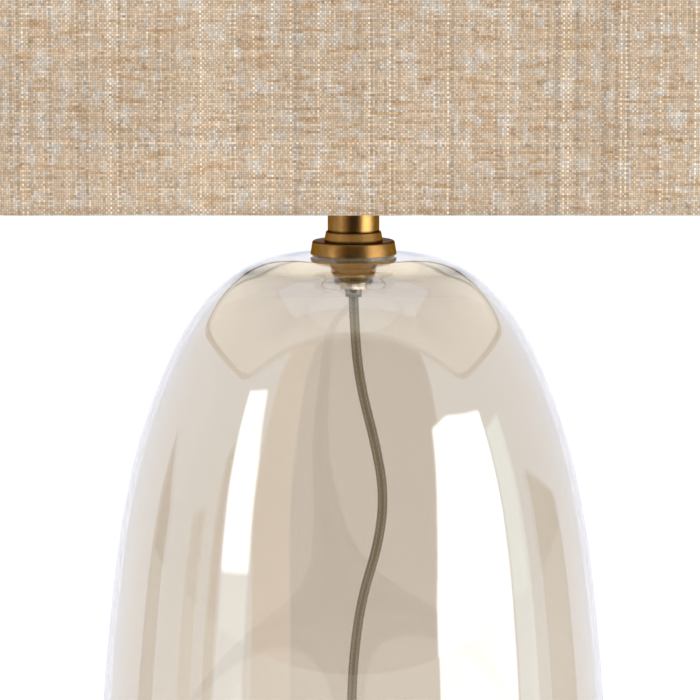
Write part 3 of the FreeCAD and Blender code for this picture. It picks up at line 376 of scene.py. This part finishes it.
def cord_material():
    """Clear twin flex gone khaki: dark copper cores seen through two lighter ribs. The first part of its
    coordinates runs across the flat cord from -1 to 1, the second along it in metres."""
    m = Shader("cord_pvc")
    across, along, _ = m.split(m.node("Attribute", attribute_name="cord").outputs["Vector"])
    side = m.math("ABSOLUTE", across)
    core = m.ramp(m.math("ABSOLUTE", m.math("SUBTRACT", side, 0.5)), 0.05, 0.34)
    lay = m.math("ADD", m.math("MULTIPLY", along, 900.0), m.math("MULTIPLY", side, 5.0))
    strands = m.math("ABSOLUTE", m.math("SINE", lay))
    copper = m.mix(strands, colour(0.40, 0.34, 0.23), colour(0.62, 0.56, 0.43))
    sleeve = m.mix(m.noise(m.place(), 90.0, 2.0), colour(0.30, 0.265, 0.185), colour(0.40, 0.36, 0.27))
    m.set(Base_Color=m.mix(core, copper, sleeve), Roughness=0.24)
    m.bsdf.inputs["Coat Weight"].default_value = 0.4
    m.bsdf.inputs["Coat Roughness"].default_value = 0.12
    m.bump(m.noise(m.place(), 500.0, 2.0), 0.00002, 0.3)
    return m.material


def strap_material():
    m = Shader("tie_strap")
    _, y, z = m.split(m.place())
    ribs = m.math("ABSOLUTE", m.math("SINE", m.math("MULTIPLY", m.math("ADD", y, z), 5000.0)))
    nap = m.noise(m.place(), 1800.0, 3.0, 0.7)
    m.set(Base_Color=m.mix(nap, colour(0.01, 0.01, 0.011), colour(0.045, 0.045, 0.05)), Roughness=0.9)
    m.bump(m.math("ADD", ribs, nap), 0.0002, 0.7)
    return m.material


def liner_material():
    """White styrene lining with a faint fibre. It has a painted glow, most at its foot, standing in for light
    thrown up from the bright floor.
    """
    m = Shader("shade_liner")
    place = m.place()
    fibres = m.noise(place, 300.0, 4.0, 0.6)
    _, _, height = m.split(place)
    # painted light: the lining emits, more low down than high up, though it is no lamp
    painted_glow = m.mix(m.ramp(height, 0.43, 0.66), colour(0.52, 0.48, 0.43), colour(0.10, 0.095, 0.085))
    m.set(
        Base_Color=m.mix(fibres, colour(0.62, 0.59, 0.535), colour(0.74, 0.71, 0.655)),
        Roughness=m.ramp(fibres, 0.3, 0.7, 0.42, 0.55),
        Emission_Color=painted_glow,
    )
    m.bsdf.inputs["Emission Strength"].default_value = 1.0
    m.bump(fibres, 0.00004, 0.3)
    return m.material


def frosted_material():
    """White bulb glass: a soft inner coat under a satin skin."""
    m = Shader("frosted_glass")
    coat = m.noise(m.place(), 120.0, 3.0)
    m.set(
        Base_Color=m.mix(coat, colour(0.86, 0.85, 0.82), colour(0.93, 0.925, 0.90)),
        Roughness=m.ramp(coat, 0.3, 0.7, 0.28, 0.38),
    )
    m.bsdf.inputs["Subsurface Weight"].default_value = 0.25
    m.bsdf.inputs["Subsurface Radius"].default_value = (0.004, 0.004, 0.004)
    return m.material


# ---- cord --------------------------------------------------------------------------------------------------

CORD_WIDTH = 0.0056
CORD_THICKNESS = 0.0029

# the nipple's bushing, the hanging S inside the glass, the grommet, and the fall to the coil
CORD_ROUTE = [
    (0.0, 0.0, 0.3583),
    (0.0007, 0.0004, 0.331),
    (0.0043, 0.0034, 0.302),
    (0.0124, 0.0104, 0.270),
    (0.0175, 0.020, 0.240),
    (0.0145, 0.030, 0.210),
    (0.005, 0.046, 0.176),
    (0.0005, 0.060, 0.142),
    (-0.0012, 0.076, 0.108),
    (-0.0006, 0.093, 0.076),
    (0.0, 0.114, 0.0522),
    (0.0, 0.1652, 0.0432),
    (0.003, 0.185, 0.024),
]
COIL_CENTRE = ((COIL_LOW[0] + COIL_HIGH[0]) / 2, (COIL_LOW[1] + COIL_HIGH[1]) / 2)
COIL_RADIUS = 0.0312
COLUMN_PITCH = 0.0058
ROW_PITCH = 0.0031
LOWEST_ROW = COIL_LOW[2] + CORD_THICKNESS / 2 + 0.0002
# each whole turn lies in one (column, row) of the bundle
COIL_SLOTS = [(1, 2), (0, 2), (-1, 2), (-1, 1), (-1, 0), (0, 0), (0, 1), (1, 1), (1, 0)]
COIL_STEPS = 20
LAST_TURN_SHARE = 0.75
SLOT_CHANGE = 0.2


def coil_points():
    """The bundle's turns, each changing to the next one's column and row over its last fifth."""
    points = []
    steps = int((len(COIL_SLOTS) - 1 + LAST_TURN_SHARE) * COIL_STEPS)
    for step in range(steps + 1):
        turn, part = divmod(step, COIL_STEPS)
        share = smoothstep((part / COIL_STEPS - 1 + SLOT_CHANGE) / SLOT_CHANGE)
        here = COIL_SLOTS[turn]
        there = COIL_SLOTS[min(turn + 1, len(COIL_SLOTS) - 1)]
        column = here[0] + (there[0] - here[0]) * share
        row = here[1] + (there[1] - here[1]) * share
        angle = 2 * math.pi * step / COIL_STEPS
        radius = COIL_RADIUS + COLUMN_PITCH * column
        x = COIL_CENTRE[0] + radius * math.cos(angle)
        y = COIL_CENTRE[1] + radius * math.sin(angle)
        points.append((x, y, LOWEST_ROW + ROW_PITCH * row))
    return points


def tail_points():
    """From the last turn to the plug."""
    x, y = COIL_CENTRE[0], COIL_CENTRE[1] - COIL_RADIUS - COLUMN_PITCH
    return [(x + 0.022, y - 0.001, 0.0033), (x + 0.044, y + 0.006, 0.0056), (x + 0.060, y + 0.016, 0.0065)]


def spline_line(points, name):
    """The smooth NURBS line with those control points, read back as close points."""
    curve = bpy.data.curves.new(name, "CURVE")
    curve.dimensions = "3D"
    curve.resolution_u = 12
    spline = curve.splines.new("NURBS")
    spline.points.add(len(points) - 1)
    for point, place in zip(spline.points, points):
        point.co = (*place, 1.0)
    spline.order_u = 3
    spline.use_endpoint_u = True
    holder = bpy.data.objects.new(name, curve)
    mesh = bpy.data.meshes.new_from_object(holder)
    line = [v.co.copy() for v in mesh.vertices]
    bpy.data.objects.remove(holder)
    bpy.data.curves.remove(curve)
    bpy.data.meshes.remove(mesh)
    return line


RIB_ARC = 230
RIB_STEPS = 7


def twin_section():
    """The flat cord's outline: round one rib, straight over the web, and round the other."""
    rib = CORD_THICKNESS / 2
    middle = CORD_WIDTH / 2 - rib
    section = []
    for side, facing in ((1, 0), (-1, 180)):
        for i in range(RIB_STEPS + 1):
            angle = math.radians(facing - RIB_ARC / 2 + RIB_ARC * i / RIB_STEPS)
            section.append((side * middle + rib * math.cos(angle), rib * math.sin(angle)))
    return section


def make_cord(material):
    """The whole cord as one flat twin section swept along its line, level until it has passed the grommet."""
    line = spline_line(CORD_ROUTE + coil_points() + tail_points(), "cord_line")
    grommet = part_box("cord_grommet")[0][1]
    section = twin_section()
    rings, coordinates = [], []
    wide = Vector((1, 0, 0))
    distance = 0.0
    past_grommet = False
    for i, point in enumerate(line):
        ahead = (line[min(i + 1, len(line) - 1)] - line[max(i - 1, 0)]).normalized()
        past_grommet = past_grommet or point.y > grommet
        if not past_grommet:
            wide = Vector((1, 0, 0))
        wide = (wide - ahead * wide.dot(ahead)).normalized()
        flat = ahead.cross(wide)
        if i:
            distance += (point - line[i - 1]).length
        rings.append([point + wide * a + flat * b for a, b in section])
        coordinates += [(a / (CORD_WIDTH / 2), distance, b / (CORD_THICKNESS / 2)) for a, b in section]
    cord = rings_to_mesh("flat_cord", rings, caps=True)
    attribute = cord.data.attributes.new("cord", "FLOAT_VECTOR", "POINT")
    attribute.data.foreach_set("vector", [c for place in coordinates for c in place])
    put(cord, material)
    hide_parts("cord_run", "cord_coil", "cord_tail")
    return cord, line, distance


STRAP_THICKNESS = 0.0007
STRAP_EDGE = 0.0002
TIE_CORNER = 0.0026
TIE_INSET = 0.0005
TIE_START = 0.008
TIE_OVERLAP = 0.0002


def strap(name, path, width, material):
    """A flat strap whose path lies in a plane across X."""
    rings = []
    for y, z in path:
        rings.append([(COIL_CENTRE[0] - width / 2, y, z), (COIL_CENTRE[0] + width / 2, y, z)])
    piece = rings_to_mesh(name, rings, closed_ring=False)
    thickness = piece.modifiers.new("thickness", "SOLIDIFY")
    thickness.thickness = STRAP_THICKNESS
    thickness.offset = 0
    edge = piece.modifiers.new("edge", "BEVEL")
    edge.width = STRAP_EDGE
    edge.segments = 2
    return put(piece, material)


def make_tie(material):
    """A hook and loop strap once round the turns, its end lying on top of its start."""
    low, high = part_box("cord_tie")
    front, back = low[1] + TIE_INSET, high[1] - TIE_INSET
    bottom, top = low[2] + TIE_INSET, high[2] - TIE_INSET
    centres = [
        (back - TIE_CORNER, bottom + TIE_CORNER),
        (back - TIE_CORNER, top - TIE_CORNER),
        (front + TIE_CORNER, top - TIE_CORNER),
        (front + TIE_CORNER, bottom + TIE_CORNER),
    ]
    path = [(front + TIE_START, bottom)]
    for index, (y, z) in enumerate(centres):
        for step in range(7):
            angle = math.radians(-90 + 90 * index + 15 * step)
            path.append((y + TIE_CORNER * math.cos(angle), z + TIE_CORNER * math.sin(angle)))
    path.append((front + TIE_START + TIE_OVERLAP, bottom))
    tie = strap("coil_tie", path, high[0] - low[0], material)
    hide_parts("cord_tie")
    return tie


def superellipse(half_width, half_height, power, count=32):
    """A ring between an ellipse, at power 2, and a box, as the power grows."""
    ring = []
    for i in range(count):
        angle = 2 * math.pi * i / count
        c, s = math.cos(angle), math.sin(angle)
        across = half_width * math.copysign(abs(c) ** (2 / power), c)
        up = half_height * math.copysign(abs(s) ** (2 / power), s)
        ring.append((across, up))
    return ring


RELIEF_LENGTH = 0.020
RELIEF_RIBS = 10
RIB_RISE = 0.0005
# half width and half height at the relief's thin end, and how much each grows along it
RELIEF_THIN = (0.0036, 0.0031)
RELIEF_GROWTH = (0.0010, 0.0012)
# (distance from the cord's end, half width, half height, power of its superellipse)
GRIP_STATIONS = [
    (0.0225, 0.0062, 0.0050, 2.3),
    (0.0260, 0.0094, 0.0058, 2.8),
    (0.0300, 0.0112, 0.0061, 3.2),
    (0.0340, 0.0108, 0.0060, 3.4),
    (0.0380, 0.0112, 0.0062, 3.8),
    (0.0420, 0.0117, 0.0064, 4.2),
    (0.0442, 0.0117, 0.0064, 4.2),
    (0.0450, 0.0111, 0.0058, 4.2),
]


def make_plug(material, start, heading):
    """A moulded plug: a ribbed taper for the cord, a waisted grip, and a flat face for the blades."""
    across = Vector((-heading.y, heading.x, 0))
    stations = []
    for i in range(RELIEF_RIBS + 1):
        share = i / RELIEF_RIBS
        rib = 0.0 if i % 2 else RIB_RISE
        half_width = RELIEF_THIN[0] + RELIEF_GROWTH[0] * share + rib
        half_height = RELIEF_THIN[1] + RELIEF_GROWTH[1] * share + rib * 0.6
        stations.append((RELIEF_LENGTH * share, half_width, half_height, 2.0))
    up = Vector((0, 0, 1))
    rings = []
    for distance, half_width, half_height, power in stations + GRIP_STATIONS:
        middle = start + heading * distance
        rings.append([middle + across * a + up * b for a, b in superellipse(half_width, half_height, power)])
    plug = rings_to_mesh("plug_moulding", rings, caps=True)
    put(plug, material)
    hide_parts("plug_body")
    return plug


# ---- glass dome --------------------------------------------------------------------------------------------

GLASS_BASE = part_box("glass_body")[0][2]
WALL = 0.004
CROWN_THICKNESS = 0.0052
CROWN_FLAT_RADIUS = 0.0347
CROWN_HOLE_RADIUS = 0.007
# the outside runs down from the crown in tangent arcs: (radius, slope at its end in degrees)
DOME_ARCS = [
    (0.0528, 30.0),
    (0.0798, 50.0),
    (0.1392, 65.0),
    (0.3347, 78.0),
    (0.560, 83.0),
    (1.500, 85.5),
    (0.700, 90.0),
    (0.200, 102.0),
    (0.052, 154.0),
]
FOOT_WIDTH = 0.007
FOOT_HEIGHT = 0.0045
FOOT_SOFTNESS = 0.0008
CORD_HOLE_RADIUS = 0.0055
CORD_HOLE_TILT = 10
ARC_STEP = math.radians(1.2)


def dome_lines():
    """The outside from the crown to the foot, and the inside a wall's thickness in, from the third arc on."""
    radius, height, tilt = CROWN_FLAT_RADIUS, GLASS_TOP, 0.0
    outside, inside = [(radius, height)], []
    for number, (bend, end) in enumerate(DOME_ARCS):
        end = math.radians(end)
        steps = max(4, math.ceil((end - tilt) / ARC_STEP))
        for step in range(1, steps + 1):
            angle = tilt + (end - tilt) * step / steps
            r = radius + bend * (math.sin(angle) - math.sin(tilt))
            z = height - bend * (math.cos(tilt) - math.cos(angle))
            outside.append((r, z))
            if number > 1 or (number == 1 and step == steps):
                inside.append((r - WALL * math.sin(angle), z - WALL * math.cos(angle)))
        radius, height = outside[-1]
        tilt = end
    return outside, inside


def dome_profile():
    """The glass's whole outline: top, down the outside, across the foot, up the inside, under the crown."""
    outside, inside = dome_lines()
    foot_radius = outside[-1][0]
    underside = GLASS_TOP - CROWN_THICKNESS
    slope = math.radians(DOME_ARCS[1][1])
    start_radius, start_height = inside[0]
    bend = (underside - start_height) / (1 - math.cos(slope))
    crown = []
    steps = 36
    for step in range(steps):
        angle = slope * step / steps
        r = start_radius - bend * (math.sin(slope) - math.sin(angle))
        crown.append((r, underside - bend * (1 - math.cos(angle))))
    soft = FOOT_SOFTNESS
    foot = [
        (foot_radius, GLASS_BASE + soft * 2),
        (foot_radius, GLASS_BASE + soft),
        (foot_radius - soft * 0.3, GLASS_BASE + soft * 0.3),
        (foot_radius - soft, GLASS_BASE),
        (foot_radius - FOOT_WIDTH + soft, GLASS_BASE),
        (foot_radius - FOOT_WIDTH + soft * 0.3, GLASS_BASE + soft * 0.3),
        (foot_radius - FOOT_WIDTH, GLASS_BASE + soft),
        (foot_radius - FOOT_WIDTH, GLASS_BASE + FOOT_HEIGHT - soft),
        (foot_radius - FOOT_WIDTH + soft, GLASS_BASE + FOOT_HEIGHT),
    ]
    top = [
        (CROWN_HOLE_RADIUS, underside + 0.0003),
        (CROWN_HOLE_RADIUS, GLASS_TOP - 0.0003),
        (CROWN_HOLE_RADIUS + 0.0003, GLASS_TOP),
        (CROWN_FLAT_RADIUS - 0.010, GLASS_TOP),
    ]
    under = [(crown[0][0] - 0.010, underside), (CROWN_HOLE_RADIUS + 0.0003, underside)]
    return top + outside + foot + inside[::-1] + crown[::-1] + under


def drill_cord_hole(glass):
    """The hole that the grommet sits in, square to the glass at the back."""
    low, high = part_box("cord_grommet")
    centre = Vector((0, (low[1] + high[1]) / 2, (low[2] + high[2]) / 2))
    bpy.ops.mesh.primitive_cylinder_add(vertices=48, radius=CORD_HOLE_RADIUS, depth=0.03, location=centre)
    drill = bpy.context.object
    drill.rotation_euler = (math.radians(-90 - CORD_HOLE_TILT), 0, 0)
    cut = glass.modifiers.new("cord_hole", "BOOLEAN")
    cut.object = drill
    cut.solver = "EXACT"
    bpy.context.view_layer.update()
    mesh = bpy.data.meshes.new_from_object(glass.evaluated_get(bpy.context.evaluated_depsgraph_get()))
    glass.modifiers.clear()
    glass.data = mesh
    bpy.data.objects.remove(drill)


def make_glass(material):
    glass = lathe("glass_dome", dome_profile(), 288)
    fix_normals(glass)
    drill_cord_hole(glass)
    put(glass, material)
    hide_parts("glass_body")


def fix_normals(piece):
    """All faces outward."""
    work = bmesh.new()
    work.from_mesh(piece.data)
    bmesh.ops.recalc_face_normals(work, faces=work.faces)
    work.to_mesh(piece.data)
    work.free()


# ---- shade -------------------------------------------------------------------------------------------------

SHADE_CORNER = 0.042
LINEN_THICKNESS = 0.0007
HEM_DEPTH = 0.0049
HEM_HEIGHT = 0.009
ROLL = 0.00225
WALL_STEP = 0.0045
ROUND_STEP = 0.01
CORNER_STEPS = 14
CLOTH_WAVER = 0.00012
EDGE_WANDER = 0.00022
# the edge wanders where the cloth is turned in this far, and on the outside this far up from the bottom edge
EDGE_INSET = 0.0004
EDGE_BAND = 0.006


def perimeter_points():
    """Round the shade from the middle of its back as (place, outward, distance), and the whole distance."""
    half_width = (SHADE_HIGH[0] - SHADE_LOW[0]) / 2
    half_depth = (SHADE_HIGH[1] - SHADE_LOW[1]) / 2
    flat_x, flat_y = half_width - SHADE_CORNER, half_depth - SHADE_CORNER
    places = []
    distance = 0.0

    def straight(start, end, outward):
        nonlocal distance
        length = (end - start).length
        steps = max(2, round(length / ROUND_STEP))
        for step in range(steps):
            at = start + (end - start) * step / steps
            places.append((at, outward, distance + length * step / steps))
        distance += length

    def corner(centre, first):
        nonlocal distance
        length = SHADE_CORNER * math.pi / 2
        for step in range(CORNER_STEPS):
            angle = math.radians(first - 90 * step / CORNER_STEPS)
            outward = Vector((math.cos(angle), math.sin(angle), 0))
            at = centre + outward * SHADE_CORNER
            places.append((at, outward, distance + length * step / CORNER_STEPS))
        distance += length

    x, y = Vector((1, 0, 0)), Vector((0, 1, 0))
    straight(y * half_depth, y * half_depth + x * flat_x, y)
    corner(x * flat_x + y * flat_y, 90)
    straight(x * half_width + y * flat_y, x * half_width - y * flat_y, x)
    corner(x * flat_x - y * flat_y, 0)
    straight(x * flat_x - y * half_depth, -x * flat_x - y * half_depth, -y)
    corner(-x * flat_x - y * flat_y, -90)
    straight(-x * half_width - y * flat_y, -x * half_width + y * flat_y, -x)
    corner(-x * flat_x + y * flat_y, 180)
    straight(-x * flat_x + y * half_depth, y * half_depth, y)
    return places, distance


def shade_section():
    """The cloth as (inset, height): its lap at the foot, round the wire, up the outside, in over the top."""
    low, high = SHADE_LOW[2], SHADE_HIGH[2]
    skin = LINEN_THICKNESS / 2
    roll_middle = skin + ROLL
    lap = roll_middle + 0.002
    section = [(HEM_DEPTH, low + HEM_HEIGHT), (HEM_DEPTH, low + lap)]
    steps = 10
    for step in range(steps + 1):
        angle = math.pi * step / steps
        section.append((roll_middle + ROLL * math.cos(angle), low + roll_middle - ROLL * math.sin(angle)))
    rise = high - low - 2 * roll_middle
    rows = round(rise / WALL_STEP)
    for row in range(1, rows):
        section.append((skin, low + roll_middle + rise * row / rows))
    for step in range(steps + 1):
        angle = math.pi - math.pi * step / steps
        section.append((roll_middle + ROLL * math.cos(angle), high - roll_middle + ROLL * math.sin(angle)))
    section += [(HEM_DEPTH, high - lap), (HEM_DEPTH, high - HEM_HEIGHT)]
    return section


def cloth_waver(along, height):
    """How far the glued cloth stands off true."""
    return CLOTH_WAVER * noise.noise(Vector((along * 45, height * 45, 3.0)))


def edge_wander(along, up):
    """How far the rolled edge strays up or down."""
    return EDGE_WANDER * noise.noise(Vector((along * 160, up * 8, 9.0)))


def make_shade(material):
    """The linen as one sheet with its turned hems, and its own coordinates for the weave."""
    section = shade_section()
    rings, coordinates = [], []
    places, length = perimeter_points()
    travelled = 0.0
    heights = [0.0]
    for before, after in zip(section, section[1:]):
        travelled += math.dist(before, after)
        heights.append(travelled)
    for (inset, height), up in zip(section, heights):
        ring = []
        on_edge = inset > EDGE_INSET or height < SHADE_LOW[2] + EDGE_BAND
        for place, outward, along in places:
            point = place - outward * (inset - cloth_waver(along, height))
            stray = edge_wander(along, up) if on_edge else 0.0
            ring.append((point.x, point.y, height + stray))
            coordinates.append((along, up, 0.0))
        rings.append(ring)
    shade = rings_to_mesh("linen_shade", rings)
    attribute = shade.data.attributes.new("cloth", "FLOAT_VECTOR", "POINT")
    attribute.data.foreach_set("vector", [c for place in coordinates for c in place])
    fix_normals(shade)
    thickness = shade.modifiers.new("thickness", "SOLIDIFY")
    thickness.thickness = LINEN_THICKNESS
    thickness.offset = 0
    put(shade, material, "shade")
    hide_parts("shade_fabric")


# ---- floor, world and lights -------------------------------------------------------------------------------


FLOOR_GREY = 0.5
FLOOR_GLOW = 0.56


def make_floor():
    """A pale floor that glows to read as white paper, and that the glass and brass don't mirror."""
    bpy.ops.mesh.primitive_plane_add(size=60, location=(0, 0, 0))
    floor = bpy.context.object
    floor.name = "floor"
    m = Shader("floor")
    m.set(Base_Color=colour(FLOOR_GREY, FLOOR_GREY, FLOOR_GREY), Roughness=0.9)
    m.bsdf.inputs["Specular IOR Level"].default_value = 0.1
    m.bsdf.inputs["Emission Color"].default_value = (1, 1, 1, 1)
    m.bsdf.inputs["Emission Strength"].default_value = FLOOR_GLOW
    floor.data.materials.append(m.material)
    floor.visible_glossy = False


# The studio as the lamp sees it, painted on the world. A card is its colour and its corners, clockwise, as
# (bearing, elevation) in degrees, the bearing from the front to the right. Later cards cover earlier ones.
STUDIO_WALL = (1.0, 1.02, 1.12)
STUDIO_CARDS = [
    ("left warm strip", (0.30, 0.20, 0.14), [(-117, -30), (-116, 12), (-106, 4), (-103, -30)]),
    ("left thin strip", (0.66, 0.54, 0.46), [(-88, -30), (-88.5, 7), (-81, 9), (-79.5, -30)]),
    ("left brown strip", (0.48, 0.33, 0.23), [(-73, -30), (-74, 19), (-70, 22), (-66, -30)]),
    ("right warm strip", (0.50, 0.42, 0.34), [(103, -30), (103, 10), (124, 2), (126, -30)]),
    (
        "beige screen",
        (0.72, 0.47, 0.30),
        [(-51.5, -30), (-53, 14), (-60, 36), (-66, 60), (-20, 60), (-20, -30)],
    ),
    (
        "dark flag",
        (0.035, 0.03, 0.03),
        [(-30, -30), (-33, 16), (-39, 42), (-46, 76), (70, 76), (54, 33), (39, -30)],
    ),
    ("left bounce", (1.85, 1.95, 2.1), [(-67, -30), (-66.8, 4.4), (-52.4, 5.6), (-51.5, -30)]),
    ("left box", (6.0, 6.0, 6.2), [(-67, 4.2), (-71.4, 30.6), (-59.8, 33.5), (-54.2, 20.5), (-52.5, 5.4)]),
    (
        "right box",
        (6.0, 6.0, 6.1),
        [(39.5, -30), (40, 2), (48.5, 28.3), (59, 28.9), (81.6, 24.5), (80.5, -30)],
    ),
    ("right bounce", (1.75, 2.0, 2.1), [(82, -30), (82.8, 21), (94, 20.5), (94.5, -30)]),
]
CARD_EDGE = 0.4


def world_node(tree, kind, *values, **settings):
    node = tree.nodes.new("ShaderNode" + kind)
    for key, setting in settings.items():
        setattr(node, key, setting)
    for socket, value in zip(node.inputs, values):
        if isinstance(value, bpy.types.NodeSocket):
            tree.links.new(value, socket)
        else:
            socket.default_value = value
    return node.outputs


def inside_card(tree, bearing, elevation, corners):
    """One inside the card, nothing outside it, from how far a direction lies within each edge."""
    share = None
    for (x0, y0), (x1, y1) in zip(corners, corners[1:] + corners[:1]):
        length = math.hypot(x1 - x0, y1 - y0)
        a, b = (y1 - y0) / length, (x0 - x1) / length
        across = world_node(tree, "Math", bearing, a, -a * x0 - b * y0, operation="MULTIPLY_ADD")[0]
        depth = world_node(tree, "Math", elevation, b, across, operation="MULTIPLY_ADD")[0]
        within = world_node(tree, "MapRange", depth, -CARD_EDGE, CARD_EDGE)[0]
        share = within if share is None else world_node(tree, "Math", share, within, operation="MULTIPLY")[0]
    return share


def make_world():
    """The studio round the lamp. The camera itself sees plain white."""
    world = bpy.data.worlds.new("studio")
    bpy.context.scene.world = world
    world.use_nodes = True
    tree = world.node_tree
    direction = world_node(tree, "TexCoord")["Generated"]
    x, y, z = world_node(tree, "SeparateXYZ", direction)
    front = world_node(tree, "Math", y, -1.0, operation="MULTIPLY")[0]
    turn = world_node(tree, "Math", x, front, operation="ARCTAN2")[0]
    lift = world_node(tree, "Math", z, operation="ARCSINE")[0]
    bearing = world_node(tree, "Math", turn, operation="DEGREES")[0]
    elevation = world_node(tree, "Math", lift, operation="DEGREES")[0]
    seen = (*STUDIO_WALL, 1.0)
    for _, tone, corners in STUDIO_CARDS:
        mix = tree.nodes.new("ShaderNodeMix")
        mix.data_type = "RGBA"
        tree.links.new(inside_card(tree, bearing, elevation, corners), mix.inputs[0])
        if isinstance(seen, bpy.types.NodeSocket):
            tree.links.new(seen, mix.inputs[6])
        else:
            mix.inputs[6].default_value = seen
        mix.inputs[7].default_value = (*tone, 1.0)
        seen = mix.outputs[2]
    camera_ray = world_node(tree, "LightPath")["Is Camera Ray"]
    backdrop = tree.nodes.new("ShaderNodeMix")
    backdrop.data_type = "RGBA"
    tree.links.new(camera_ray, backdrop.inputs[0])
    tree.links.new(seen, backdrop.inputs[6])
    backdrop.inputs[7].default_value = (1, 1, 1, 1)
    tree.links.new(backdrop.outputs[2], tree.nodes["Background"].inputs[0])


TOP_BOX_SIZE = (2.4, 1.6)
TOP_BOX_WATTS = 34
TOP_BOX_PLACE = (0, -1.2, 2.6)
TOP_BOX_TILT = -32


def make_lights():
    """One box over the front. It lights the lamp but isn't seen or mirrored."""
    data = bpy.data.lights.new("top_box", "AREA")
    data.shape = "RECTANGLE"
    data.size, data.size_y = TOP_BOX_SIZE
    data.energy = TOP_BOX_WATTS
    top = bpy.data.objects.new("top_box", data)
    bpy.context.scene.collection.objects.link(top)
    top.location = TOP_BOX_PLACE
    top.rotation_euler = (math.radians(TOP_BOX_TILT), 0, 0)
    top.visible_camera = False
    top.visible_glossy = False
    top.visible_transmission = False


# ---- materials on the CAD's own pieces ---------------------------------------------------------------------


def dress_nodes(materials):
    """Finish the CAD's own pieces, each named with its material."""
    for name, material in materials.items():
        piece = nodes[name]
        piece.data.materials.clear()
        piece.data.materials.append(material)


def main():
    make_camera()
    cord_pvc = cord_material()
    cord, line, length = make_cord(cord_pvc)
    tie = make_tie(strap_material())
    plug_pvc = plastic_material("plug_pvc", colour(0.42, 0.40, 0.33), 0.35)
    heading = Vector((line[-1].x - line[-6].x, line[-1].y - line[-6].y, 0)).normalized()
    plug = make_plug(plug_pvc, line[-1], heading)

    make_glass(glass_material())
    make_shade(linen_material())

    # heights of the seams between brass parts, where painted shade darkens the brass
    shaded_seams = [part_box(name)[0][2] for name in ("neck_ring", "neck_tube", "neck_cap")]
    gilt, umber = colour(0.36, 0.205, 0.065), colour(0.21, 0.112, 0.032)
    brass = brass_material("antique_brass", gilt, umber, 0.26, shaded_seams)
    thin_brass = brass_material("socket_brass", colour(0.80, 0.60, 0.28), colour(0.58, 0.41, 0.17), 0.25)
    zinc = plain_metal("zinc_steel", colour(0.66, 0.66, 0.63), 0.3)
    aluminium = plain_metal("aluminium", colour(0.86, 0.86, 0.86), 0.26)
    nickel = plain_metal("nickel_blades", colour(0.78, 0.75, 0.68), 0.24)
    phenolic = plastic_material("phenolic", colour(0.022, 0.02, 0.018), 0.3)
    ivory = plastic_material("ivory_plastic", colour(0.55, 0.50, 0.40), 0.4)
    rubber = plastic_material("grommet_rubber", colour(0.16, 0.155, 0.14), 0.5)
    clear = plastic_material("clear_gasket", colour(0.80, 0.66, 0.42), 0.2, through=0.6)
    pads = plastic_material("clear_pads", colour(0.85, 0.85, 0.82), 0.2, through=0.8)
    card = plastic_material("insulator_card", colour(0.20, 0.12, 0.07), 0.8)
    wire = plastic_material("white_wire", colour(0.80, 0.79, 0.76), 0.35)
    frosted = frosted_material()
    finishes = {
        "antique_brass": brass,
        "socket_brass": thin_brass,
        "zinc_steel": zinc,
        "aluminium": aluminium,
        "nickel_blades": nickel,
        "phenolic": phenolic,
        "ivory_plastic": ivory,
        "grommet_rubber": rubber,
        "clear_gasket": clear,
        "clear_pads": pads,
        "insulator_card": card,
        "white_wire": wire,
        "frosted_glass": frosted,
        "shade_liner": liner_material(),
        "cord_pvc": ivory,
    }
    slots = {subpart["node"]: subpart["material_slot"] for subpart in frame["record"]["subparts"]}
    dress_nodes({name: finishes[slot] for name, slot in slots.items() if slot in finishes})

    make_floor()
    make_world()
    make_lights()
    bpy.context.scene.view_settings.view_transform = "Standard"
    bpy.context.scene.view_settings.look = "None"


main()
